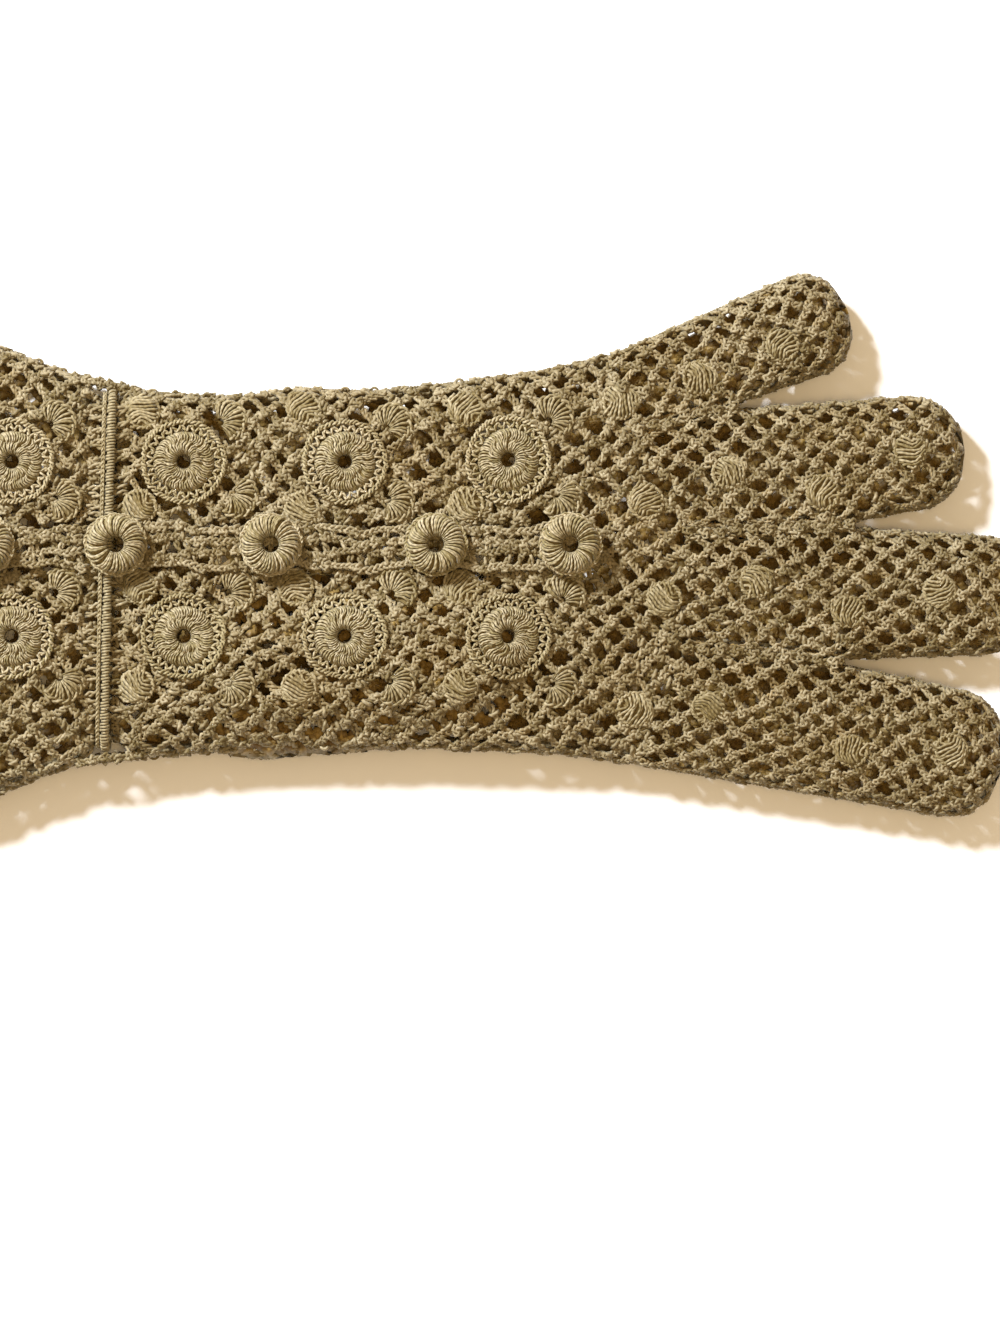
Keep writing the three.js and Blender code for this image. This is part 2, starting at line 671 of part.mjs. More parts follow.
// Wrist cord: a flat oval section carried round the pinched wrist
function buildWristCord() {
  const { high, low, bottom, top } = netSection(0);
  const grow = WRIST_CORD_GAP + WRIST_CORD_THICKNESS / 2;
  const middleY = (high + low) / 2;
  const middleZ = (top + bottom) / 2;
  const shares = sectionShares(HAND_FACETS, HAND_SQUARENESS);
  const centres = shares.map(({ u, w }) => {
    const y = middleY + u * ((high - low) / 2 + grow);
    return new THREE.Vector3(wristX(y), y, middleZ + w * ((top - bottom) / 2 + grow));
  });
  const sections = centres.map((centre, k) => {
    const before = centres[(k + centres.length - 1) % centres.length];
    const after = centres[(k + 1) % centres.length];
    const way = after.clone().sub(before).normalize();
    const wide = new THREE.Vector3(1, 0, 0);
    const out = new THREE.Vector3().crossVectors(way, wide).normalize();
    return Array.from({ length: CORD_FACETS }, (_, j) => {
      const angle = (2 * Math.PI * (j + 0.5)) / CORD_FACETS;
      return centre
        .clone()
        .addScaledVector(wide, (Math.cos(angle) * WRIST_CORD_WIDTH) / 2)
        .addScaledVector(out, (Math.sin(angle) * WRIST_CORD_THICKNESS) / 2);
    });
  });
  return toSolid(loopLoft(sections));
}

// Placket: rows of cord side by side on a thin base, drawn in Y and Z and run along X
function buildPlacket(fromX, toX) {
  const row = PLACKET_WIDTH / PLACKET_ROWS;
  const start = PLACKET_SHIFT - PLACKET_WIDTH / 2;
  const [groove, ridge] = [PLACKET_GROOVE, 1].map((share) => PLACKET_BASE + share * PLACKET_THICKNESS);
  const shape = new THREE.Shape();
  shape.moveTo(start, PLACKET_BASE);
  shape.lineTo(start + PLACKET_WIDTH, PLACKET_BASE);
  for (let i = PLACKET_ROWS - 1; i >= 0; i -= 1) {
    const y = start + i * row;
    shape.lineTo(y + row, groove);
    shape.lineTo(y + row * (1 - PLACKET_CHAMFER), ridge);
    shape.lineTo(y + row * PLACKET_CHAMFER, ridge);
  }
  shape.lineTo(start, groove);
  const geometry = new THREE.ExtrudeGeometry(shape, { depth: toX - fromX, bevelEnabled: false });
  const axes = new THREE.Matrix4().makeBasis(
    new THREE.Vector3(0, 1, 0),
    new THREE.Vector3(0, 0, 1),
    new THREE.Vector3(1, 0, 0)
  );
  geometry.applyMatrix4(axes);
  geometry.translate(fromX, 0, 0);
  return toSolid(geometry);
}

// Button: a padded ring with a small hole, highest near its hole
function buildButton() {
  const [inner, outer] = [BUTTON_HOLE / 2, BUTTON_DIAMETER / 2];
  const profile = BUTTON_PROFILE.map(
    ({ share, rise }) => new THREE.Vector2(THREE.MathUtils.lerp(inner, outer, share), rise * BUTTON_HEIGHT)
  );
  profile.push(profile[0].clone());
  const geometry = new THREE.LatheGeometry(profile, ROUND_FACETS);
  geometry.rotateX(Math.PI / 2);
  return geometry;
}

// Large round motif: a domed disc of the wall's thickness with a centre hole, following the back
function buildMotif(x, y) {
  const [inner, outer] = [MOTIF_HOLE / 2, MOTIF_DIAMETER / 2];
  const ring = (share, lift) =>
    Array.from({ length: ROUND_FACETS }, (_, j) => {
      const angle = (2 * Math.PI * j) / ROUND_FACETS;
      const radius = THREE.MathUtils.lerp(inner, outer, share);
      const [px, py] = [x + radius * Math.cos(angle), y + radius * Math.sin(angle)];
      return new THREE.Vector3(px, py, backHeight(px, py) + lift);
    });
  const rings = MOTIF_PROFILE.map(({ share, rise }) => ring(share, rise));
  rings.push(ring(1, -NET_WALL), ring(0, -NET_WALL));
  const sections = rings[0].map((_, j) => rings.map((points) => points[j]));
  return loopLoft(sections);
}

// Assembly

const glove = new THREE.Group();

function addPiece(name, geometry, colour) {
  const mesh = new THREE.Mesh(geometry, yarn(colour));
  mesh.name = name;
  glove.add(mesh);
  return mesh;
}

addPiece("hand_net", toGeometry(buildHand()), NET_COLOUR);
addPiece("cuff_net", toGeometry(buildCuff()), NET_COLOUR);
addPiece("hem_edging", toGeometry(buildHem()), YARN_COLOUR);
FINGERS.forEach((finger, index) => addPiece(finger.name, toGeometry(buildFinger(index)), NET_COLOUR));
addPiece("thumb", toGeometry(buildThumb()), NET_COLOUR);
addPiece("wrist_cord", toGeometry(buildWristCord()), YARN_COLOUR);
motifs.forEach(({ name, x, y }) => addPiece(name, buildMotif(x, y), YARN_COLOUR));

const cordClear = WRIST_CORD_WIDTH / 2 + 2 * PIECE_GAP;
const lastButton = HAND_BUTTONS[HAND_BUTTONS.length - 1] * HAND_LENGTH;
addPiece("placket_cuff", toGeometry(buildPlacket(-CUFF_LENGTH, -cordClear)), YARN_COLOUR);
addPiece("placket_hand", toGeometry(buildPlacket(cordClear, lastButton)), YARN_COLOUR);

const buttonPlaces = [
  ...CUFF_BUTTONS.map((share, i) => ({ name: `button_cuff_${i + 1}`, x: -share * CUFF_LENGTH })),
  { name: "button_wrist", x: WRIST_BUTTON * HAND_LENGTH },
  ...HAND_BUTTONS.map((share, i) => ({ name: `button_hand_${i + 1}`, x: share * HAND_LENGTH })),
];
buttonPlaces.forEach(({ name, x }) => {
  addPiece(name, buildButton(), YARN_COLOUR).position.set(x, 0, BUTTON_BASE);
});

// The origin goes to the middle of the underside
const box = new THREE.Box3().setFromObject(glove);
const middle = box.getCenter(new THREE.Vector3());
glove.position.set(-middle.x, -middle.y, -box.min.z);
glove.updateMatrixWorld(true);

export default glove;
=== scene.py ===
"""Crochet glove lying flat, back of the hand up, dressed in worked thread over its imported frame.

Lengths are in millimetres while a piece is worked out. X = 0 is the wrist seam, Y = 0 the row of
buttons, and the row frame's place is added when a piece is made in metres.
"""
import logging
from dataclasses import dataclass, field, replace
from enum import Enum
from typing import Callable, ClassVar

import bpy
import numpy as np
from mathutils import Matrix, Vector


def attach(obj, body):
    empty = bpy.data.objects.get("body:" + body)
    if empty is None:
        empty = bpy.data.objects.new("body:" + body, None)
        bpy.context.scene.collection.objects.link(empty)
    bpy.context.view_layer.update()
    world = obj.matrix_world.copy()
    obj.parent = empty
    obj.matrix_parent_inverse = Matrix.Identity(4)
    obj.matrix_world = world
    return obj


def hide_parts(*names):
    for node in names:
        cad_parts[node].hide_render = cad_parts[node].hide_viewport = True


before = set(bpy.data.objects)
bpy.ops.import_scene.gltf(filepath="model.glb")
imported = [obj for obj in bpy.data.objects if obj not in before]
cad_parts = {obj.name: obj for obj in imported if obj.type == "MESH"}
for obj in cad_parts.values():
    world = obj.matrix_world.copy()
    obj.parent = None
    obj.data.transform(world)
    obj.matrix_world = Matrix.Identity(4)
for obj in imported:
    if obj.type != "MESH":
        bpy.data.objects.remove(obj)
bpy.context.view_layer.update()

log = logging.getLogger("glove")

Array = np.ndarray
Rng = np.random.Generator
Values = float | np.ndarray
Place = tuple[float, float] | np.ndarray
Material = bpy.types.Material
Socket = bpy.types.NodeSocket
Region = Callable[[Array], Array]

MILLIMETRE = 0.001
ROW_SHIFT = np.array([-60.55, 4.94, 0.0])
BODY = "root"
TURN = 2.0 * np.pi
UP = np.array([0.0, 0.0, 1.0])
ALONG = np.array([1.0, 0.0, 0.0])
ACROSS = np.array([0.0, 1.0, 0.0])
SHEET_SHADE_DEPTH = 0.7  # depth given to every backing sheet, so that it takes the painted shade of deep work
FADE_FROM, FADE_WIDTH = 0.94, 0.1  # share of the arc where depth, and with it the painted shade, fades out towards a lit edge


class Side(Enum):
    """The two layers of the flat glove."""

    BACK = 1
    PALM = -1


class Ply(Enum):
    """How a cord is laid: two strands that circle each other, or three that pass over and under."""

    TWIST = 2
    PLAIT = 3


def smooth(value: Array) -> Array:
    """Soft step: 3t² − 2t³ of the value held between 0 and 1."""
    t = np.clip(value, 0.0, 1.0)
    return t * t * (3.0 - 2.0 * t)


def roundness(share: Array, squareness: float) -> Array:
    """Height of a superellipse at a share of its half width: (1 − |u|ⁿ) to the power 1/n."""
    return (1.0 - np.minimum(1.0, np.abs(share)) ** squareness) ** (1.0 / squareness)


def unit(vectors: Array) -> Array:
    """The same vectors at length one."""
    return vectors / np.maximum(np.linalg.norm(vectors, axis=-1, keepdims=True), 1e-9)


def heading(degrees: float) -> Array:
    """Unit vector in plan, turned from +X."""
    angle = np.radians(degrees)
    return np.array([np.cos(angle), np.sin(angle)])


def sideways(way: Array) -> Array:
    """A plan vector turned a quarter to the left."""
    return np.array([-way[1], way[0]])


def stacked(*parts: Values) -> Array:
    """Coordinates that are broadcast to one shape and put side by side."""
    return np.stack(np.broadcast_arrays(*parts), axis=-1)


def polar(centre: Place, radius: Values, angle: Array, height: Values) -> Array:
    """Points round a plan centre: centre plus radius times cosine and sine, at a height."""
    return stacked(centre[0] + radius * np.cos(angle), centre[1] + radius * np.sin(angle), height)


def one_turn(count: int) -> Array:
    """Angles evenly round a circle, without the last that would meet the first."""
    return np.linspace(0.0, TURN, count, endpoint=False)


def spread(rng: Rng, most: float, *shape: int) -> Array:
    """Random numbers between minus the most and the most, in an array of a shape."""
    return rng.uniform(-most, most, shape)


def uneven_starts(rng: Rng, count: int, most: float) -> Array:
    """Angles round a circle, one a row, each up to a share of the pitch off its place."""
    return TURN * (np.arange(count) + spread(rng, most, count))[:, None] / count


def along_ring(angle: Array) -> Array:
    """The direction along a ring at an angle, level."""
    return stacked(-np.sin(angle), np.cos(angle), 0.0)


def on_arc(
    share: Array, half_width: Array, half_height: Array, squareness: Values,
) -> tuple[Array, ...]:
    """Walks along a quarter of a superellipse by arc length.

    Args:
        share: signed share of the arc from the middle (0) to the side (1 or -1).
        half_width: half the section's width.
        half_height: half its height.
        squareness: exponent of the superellipse, one number or one for each place.

    Returns:
        Share of the half width, share of the half height, and the whole arc's length.
    """
    theta = np.linspace(0.0, np.pi / 2.0, 57)
    power = 2.0 / np.broadcast_to(np.asarray(squareness, dtype=float), np.shape(share))[..., None]
    wide, tall = np.sin(theta) ** power, np.maximum(0.0, np.cos(theta)) ** power
    steps = np.hypot(half_width[..., None] * np.diff(wide), half_height[..., None] * np.diff(tall))
    arc = np.concatenate([np.zeros_like(steps[..., :1]), np.cumsum(steps, axis=-1)], axis=-1)
    target = np.minimum(np.abs(share), 1.0) * arc[..., -1]
    k = np.clip((arc[..., 1:] < target[..., None]).sum(-1), 0, len(theta) - 2)[..., None]

    def around(table: Array) -> list[Array]:
        """The table's entries on both sides of the target."""
        return [np.take_along_axis(table, k + one, -1)[..., 0] for one in (0, 1)]

    before, after = around(arc)
    part = (target - before) / np.maximum(after - before, 1e-9)
    u, w = (low + part * (high - low) for low, high in (around(wide), around(tall)))
    return np.sign(share) * u, w, arc[..., -1]


@dataclass(frozen=True)
class GloveForm:
    """The glove's outer form, as the frame has it."""

    hand_length: float = 116.4
    palm_width: float = 72.6
    hand_height: float = 12.0
    cuff_length: float = 61.0
    hem_width: float = 121.0
    finger_height: float = 10.0
    rest_flat: float = 0.35
    cord_width: float = 3.2
    cord_thickness: float = 2.0
    pinch_length: float = 6.0
    pinch_sink: float = 0.7
    wrist_slant: float = 0.022
    hand_squareness: float = 4.0
    finger_squareness: float = 3.2
    joined_squareness: float = 16.0
    thumb_squareness: float = 2.6
    tip_roundness: float = 2.4
    taper_start: float = 0.75
    thumb_start: tuple[float, float] = (0.17, -0.36)
    thumb_length: float = 60.0
    thumb_width: float = 21.0
    thumb_height: float = 8.0
    thumb_splay: float = 5.0
    thumb_falloff: float = 6.0
    thumb_swell: float = 2.4
    clearance: float = 0.3
    outline_along: tuple[float, ...] = (0.0, 0.07, 0.24, 0.36, 0.52, 0.7, 0.86, 1.0)
    outline_little: tuple[float, ...] = (0.437, 0.43, 0.414, 0.438, 0.432, 0.458, 0.488, 0.532)
    outline_index: tuple[float, ...] = (0.573, 0.59, 0.57, 0.566, 0.56, 0.57, 0.583, 0.614)
    knuckles: tuple[tuple[float, float, float], ...] = (
        (0.863, 0.532, 0.0), (0.914, 0.322, 18.9), (1.0, 0.036, 31.6), (1.0, -0.284, 30.1),
        (0.914, -0.614, 0.0),
    )

    def plan(self, along: float, across: float) -> Array:
        """A plan place from shares of the hand's length and the palm's width."""
        return np.array([along * self.hand_length, across * self.palm_width])

    def knuckle(self, k: int) -> Array:
        """Plan place of one of the five ends of the finger roots."""
        return self.plan(*self.knuckles[k][:2])

    def hand_reach(self, y: Array) -> Array:
        """How far the hand goes along X at a place across it: a line through the knuckles."""
        points = np.array([self.knuckle(k) for k in range(5)])[::-1]
        return np.interp(y, points[:, 1], points[:, 0])

    def section(self, along: Array) -> tuple[Array, ...]:
        """Edges, bottom and top of the net at a share along the hand (+) or the cuff (-).

        Args:
            along: share along the hand, or along the cuff if negative.

        Returns:
            High edge, low edge, bottom and top.
        """
        share = np.maximum(0.0, along)
        high = np.interp(share, self.outline_along, self.outline_little) * self.palm_width
        low = -np.interp(share, self.outline_along, self.outline_index) * self.palm_width
        wrist = (self.outline_little[0] + self.outline_index[0]) * self.palm_width
        flare = np.maximum(0.0, -along) * (self.hem_width - wrist) / 2.0
        distance = np.abs(along * np.where(along < 0, self.cuff_length, self.hand_length))
        held = self.cord_width / 2.0 + self.clearance
        pinch = 1.0 - smooth((distance - held) / (self.pinch_length - held))
        taper = (self.hand_height - self.finger_height) * smooth(
            (along - self.taper_start) / (1.0 - self.taper_start)
        )
        side = self.cord_thickness + self.clearance
        bottom = pinch * (self.cord_thickness + 2.0 * self.clearance)
        top = self.hand_height - self.pinch_sink * self.cord_thickness * pinch - taper
        return high + flare - pinch * side, low - flare + pinch * side, bottom, top

    def thumb_distance(self, x: Array, y: Array) -> Array:
        """Distance outside the thumb's plan outline, a round-ended bar; negative inside.

        Args:
            x: X of the places.
            y: Y of the places.

        Returns:
            The distances.
        """
        start, way = self.plan(*self.thumb_start), heading(self.thumb_splay)
        radius = self.thumb_width / 2.0
        dx, dy = x - start[0], y - start[1]
        along = np.clip(dx * way[0] + dy * way[1], radius, self.thumb_length - radius)
        return np.hypot(dx - along * way[0], dy - along * way[1]) - radius

    def thumb_lift(self, x: Array, y: Array) -> Array:
        """How high the palm arches over the thumb: a superellipse of the distance from it."""
        reach = self.thumb_width / 2.0 + self.thumb_falloff
        u = (self.thumb_distance(x, y) + self.thumb_width / 2.0) / reach
        return (self.thumb_height + 2 * self.clearance) * roundness(u, self.thumb_squareness + 1)

    def thumb_rise(self, x: Array, y: Array) -> Array:
        """How much higher the back lies over the thumb: a soft step of the distance."""
        away = (self.thumb_distance(x, y) + self.thumb_falloff / 2.0) / (1.3 * self.thumb_falloff)
        return self.thumb_swell * (1.0 - smooth(away))


FORM = GloveForm()
HAND_SPAN = (-66.0, 118.0)
HAND_GRID = (300, 101)
TUBE_COLUMNS = 41


@dataclass
class Skin:
    """One layer of a flat tube as a grid of points, by distance along and share of the arc."""

    along: Array
    middle: Array
    reach: Array
    points: Array
    outward: float
    normals: Array = field(init=False)

    def __post_init__(self) -> None:
        """Normals are the cross product of the grid's two directions, turned outwards."""
        ways = [np.gradient(self.points, axis=axis) for axis in (0, 1)]
        self.normals = unit(np.cross(*ways)) * self.outward

    def width_at(self, along: Array) -> tuple[Array, Array]:
        """Middle and half the arc at distances along."""
        return np.interp(along, self.along, self.middle), np.interp(along, self.along, self.reach)

    def share(self, flat: Array) -> Array:
        """Share of the arc from the middle, -1 to 1, of places given along and across."""
        middle, reach = self.width_at(flat[..., 0])
        return (flat[..., 1] - middle) / reach

    def side_line(self, along: Array, share: float) -> Array:
        """Flat places of a line at distances along and one signed share of the arc."""
        middle, reach = self.width_at(along)
        return np.stack([along, middle + share * reach], axis=-1)

    def place(self, flat: Array) -> Array:
        """Carries flat places onto the skin.

        Args:
            flat: array of (along, across, height over the skin).

        Returns:
            Points: the grid's point, found by linear interpolation, plus height times the normal.
        """
        rows, columns = self.points.shape[:2]
        i = np.interp(flat[..., 0], self.along, np.arange(rows))
        j = (np.clip(self.share(flat), -1.0, 1.0) + 1.0) / 2.0 * (columns - 1)
        i0 = np.clip(np.floor(i).astype(int), 0, rows - 2)
        j0 = np.clip(np.floor(j).astype(int), 0, columns - 2)
        a, b = (i - i0)[..., None], (j - j0)[..., None]

        def blend(grid: Array) -> Array:
            """Linear interpolation between the four corners of a cell."""
            low = grid[i0, j0] * (1 - b) + grid[i0, j0 + 1] * b
            high = grid[i0 + 1, j0] * (1 - b) + grid[i0 + 1, j0 + 1] * b
            return low * (1 - a) + high * a

        return blend(self.points) + flat[..., 2:3] * unit(blend(self.normals))

    def plan(self, flat: Array) -> tuple[Array, Array]:
        """X and Y of flat places on the skin."""
        point = self.place(np.concatenate([flat, np.zeros(flat.shape[:-1] + (1,))], axis=-1))
        return point[..., 0], point[..., 1]


def hand_skin(side: Side) -> Skin:
    """The cuff and the hand as one skin of superellipses along X, arched by the thumb.

    Args:
        side: the upper or the lower layer.

    Returns:
        The skin.
    """
    x = np.linspace(*HAND_SPAN, HAND_GRID[0])[:, None]
    v = np.linspace(-1.0, 1.0, HAND_GRID[1])[None, :]
    y = np.zeros((x.shape[0], v.shape[1]))
    for _ in range(4):
        along = np.where(x < 0, x / FORM.cuff_length, x / FORM.hand_reach(y))
        high, low, bottom, top = FORM.section(along)
        half_width, half_height = (high - low) / 2.0, (top - bottom) / 2.0
        share = np.broadcast_to(v, y.shape)
        u, w, arc = on_arc(share, half_width, half_height, FORM.hand_squareness)
        y = (high + low) / 2.0 + u * half_width
    centre = (top + bottom) / 2.0
    if side is Side.BACK:
        z = centre + w * (half_height + FORM.thumb_rise(x, y))
    else:
        z = np.maximum(centre - w * (half_height + FORM.rest_flat), bottom)
        z = np.maximum(z, FORM.thumb_lift(x, y))
    mid = v.shape[1] // 2
    return Skin(x[:, 0], y[:, mid], arc[:, mid], stacked(x, y, z), side.value)


def tube_skin(
    t: Array, middle: Array, half_width: Array, half_height: Array, root: Array, way: Array,
    centre: float, squareness: Values, layer: Side,
) -> Skin:
    """A straight flat tube's skin.

    Args:
        t: distances along from the root.
        middle: the section's middle across, at each distance.
        half_width: half its width.
        half_height: half its height.
        root: plan point where t is 0.
        way: plan direction.
        centre: height of the tube's middle.
        squareness: exponent of its section, or one for each distance and each side.
        layer: the upper or the lower layer.

    Returns:
        The skin, pressed flat where it rests.
    """
    v = np.broadcast_to(np.linspace(-1.0, 1.0, TUBE_COLUMNS)[None, :], (len(t), TUBE_COLUMNS))
    wide, tall = half_width[:, None], half_height[:, None]
    if np.ndim(squareness) == 2:
        squareness = np.where(v < 0, squareness[:, :1], squareness[:, 1:])
    sizes = (np.broadcast_to(size, v.shape) for size in (wide, tall))
    u, w, arc = on_arc(v, *sizes, squareness)
    across = middle[:, None] + u * wide
    if layer is Side.BACK:
        z = centre + w * tall
    else:
        z = np.maximum(centre - w * (tall + FORM.rest_flat), centre - tall)
    plan = root + t[:, None, None] * way + across[..., None] * sideways(way)
    points = np.concatenate([plan, z[..., None]], axis=-1)
    return Skin(t, middle, arc[:, TUBE_COLUMNS // 2], points, layer.value)


@dataclass(frozen=True)
class FingerForm:
    """One finger: its place among the knuckles and its sizes."""

    name: str
    place: int
    length: float
    width: float
    splay: float
    tip: float
    root_overlap: float = 9.0
    free_root: float = 14.0

    @property
    def way(self) -> Array:
        """Where the finger points."""
        return heading(self.splay)

    @property
    def root(self) -> Array:
        """Middle of the finger's root."""
        return (FORM.knuckle(self.place) + FORM.knuckle(self.place + 1)) / 2.0

    @property
    def shoulder(self) -> float:
        """Distance along from the root to where the round tip starts."""
        return self.length - self.tip * self.width

    def local(self, point: Array) -> Array:
        """A plan point as distances along and across from the root."""
        return np.array([(point - self.root) @ self.way, (point - self.root) @ sideways(self.way)])

    def edge(self, knuckle: int, sign: float) -> Array:
        """Three places of an edge: at the root, where the fingers part, and at the shoulder.

        Args:
            knuckle: number of the knuckle place.
            sign: which side, 1 or -1.

        Returns:
            Places along and across, one a row.
        """
        root = self.local(FORM.knuckle(knuckle))
        shoulder = np.array([self.shoulder, sign * self.width / 2.0])
        web = FORM.knuckles[knuckle][2]
        if web == 0.0:
            return np.array([root, (root + shoulder) / 2.0, shoulder])
        parted = self.local(FORM.knuckle(knuckle) + web * web_way(knuckle))
        return np.array([root, parted, shoulder])

    def free_from(self, knuckle: int, sign: float) -> float:
        """Distance along where an edge is free: the root, or where two fingers part."""
        return float(self.edge(knuckle, sign)[1 if FORM.knuckles[knuckle][2] > 0.0 else 0, 0])

    def skin(self, layer: Side) -> Skin:
        """The finger's skin: superellipses between its edges, drawn in towards a round tip.

        Args:
            layer: the upper or the lower layer.

        Returns:
            The skin.
        """
        body = np.linspace(-self.root_overlap, self.shoulder, 90)
        cap = self.shoulder + self.tip * self.width * np.sin(np.linspace(0, np.pi / 2, 30))[1:]
        t = np.concatenate([body, cap])
        high, low = self.edge(self.place, 1.0), self.edge(self.place + 1, -1.0)
        top, bottom = (np.interp(t, edge[:, 0], edge[:, 1]) for edge in (high, low))
        share = np.clip((t - self.shoulder) / (self.tip * self.width), 0.0, 0.997)
        shrink = roundness(share, FORM.tip_roundness)
        half_width = ((top - bottom) / 2.0 - FORM.clearance / 2.0) * shrink
        half_height = FORM.finger_height / 2.0 * shrink
        blunt = np.stack([self.edge_squareness(t, low[1, 0], self.place + 1),
                          self.edge_squareness(t, high[1, 0], self.place)], axis=-1)
        return tube_skin(t, (top + bottom) / 2.0, half_width, half_height, self.root, self.way,
                         FORM.finger_height / 2.0, blunt, layer)

    def edge_squareness(self, t: Array, web: float, knuckle: int) -> Array:
        """How square an edge is: as the hand's at the root, nearly flat where fingers are joined.

        Args:
            t: distances along from the root.
            web: distance at which the fingers part.
            knuckle: number of the knuckle place.

        Returns:
            Exponents of the superellipse.
        """
        joined = FORM.knuckles[knuckle][2] > 0.0
        root = FORM.joined_squareness if joined else FORM.hand_squareness
        reach = web if joined else self.free_root
        return root + (FORM.finger_squareness - root) * smooth((t - reach + 4.0) / 9.0)


FINGERS = (
    FingerForm("little_finger", 0, 47.4, 21.6, 19.7, 0.45),
    FingerForm("ring_finger", 1, 60.4, 24.0, 6.2, 0.52),
    FingerForm("middle_finger", 2, 69.0, 25.0, -1.0, 0.48),
    FingerForm("index_finger", 3, 68.8, 26.6, -8.9, 0.46),
)


def web_way(knuckle: int) -> Array:
    """The direction in which two joined fingers part: half way between them."""
    return heading((FINGERS[knuckle - 1].splay + FINGERS[knuckle].splay) / 2.0)


def thumb_skin(layer: Side) -> Skin:
    """The thumb's skin: a flat tube whose both ends close in quarter circles.

    Args:
        layer: the upper or the lower layer.

    Returns:
        The skin.
    """
    half = FORM.thumb_width / 2.0
    start = half * (1.0 - np.cos(np.linspace(0.02, np.pi / 2, 26)))
    t = np.concatenate([start, np.linspace(half, FORM.thumb_length - half, 40)[1:-1],
                        (FORM.thumb_length - start)[::-1]])
    inside = np.minimum(1.0, np.minimum(t, FORM.thumb_length - t) / half)
    round_ends = np.sqrt(np.maximum(1e-4, 1.0 - (1.0 - inside) ** 2))
    middle_height = FORM.thumb_height / 2.0
    return tube_skin(t, np.zeros_like(t), half * round_ends, middle_height * round_ends ** 0.7,
                     FORM.plan(*FORM.thumb_start), heading(FORM.thumb_splay), middle_height,
                     FORM.thumb_squareness, layer)


def cross_ways(path: Array, hint: Array, closed: bool) -> tuple[Array, Array]:
    """The two directions across a path: tangent cross hint, and that cross the tangent.

    Args:
        path: points of the paths.
        hint: direction that no path follows.
        closed: True for loops.

    Returns:
        Unit vectors across and over the path.
    """
    if closed:
        tangent = np.roll(path, -1, axis=-2) - np.roll(path, 1, axis=-2)
    else:
        tangent = np.gradient(path, axis=-2)
    tangent = unit(tangent)
    across = unit(np.cross(tangent, np.broadcast_to(hint, path.shape)))
    return across, np.cross(across, tangent)


@dataclass(frozen=True)
class Cord:
    """A cord of strands: how it is laid, how far they swing across and over, their radius."""

    ply: Ply
    half_width: Values
    half_height: float
    thread: float

    def strands(self, path: Array, phase: Array, hint: Array, closed: bool) -> Array:
        """The strands along paths.

        A plait's strand swings across by the sine of its phase and over by the sine of twice the
        phase, so that the strands pass over and under each other. A twist's circles the path.

        Args:
            path: points, shape (paths, points, 3).
            phase: angle at each point, shape (paths, points).
            hint: direction over the path.
            closed: True for loops.

        Returns:
            Strands, shape (paths * strands, points, 3).
        """
        across, over = cross_ways(path, hint, closed)
        turn = phase[:, None] + TURN * np.arange(self.ply.value)[None, :, None] / self.ply.value
        if self.ply is Ply.PLAIT:
            swing, rise = np.sin(turn), np.sin(2.0 * turn)
        else:
            swing, rise = np.cos(turn), np.sin(turn)
        made = (
            path[:, None]
            + (self.half_width * swing)[..., None] * across[:, None]
            + (self.half_height * rise)[..., None] * over[:, None]
        )
        return made.reshape(-1, path.shape[1], 3)


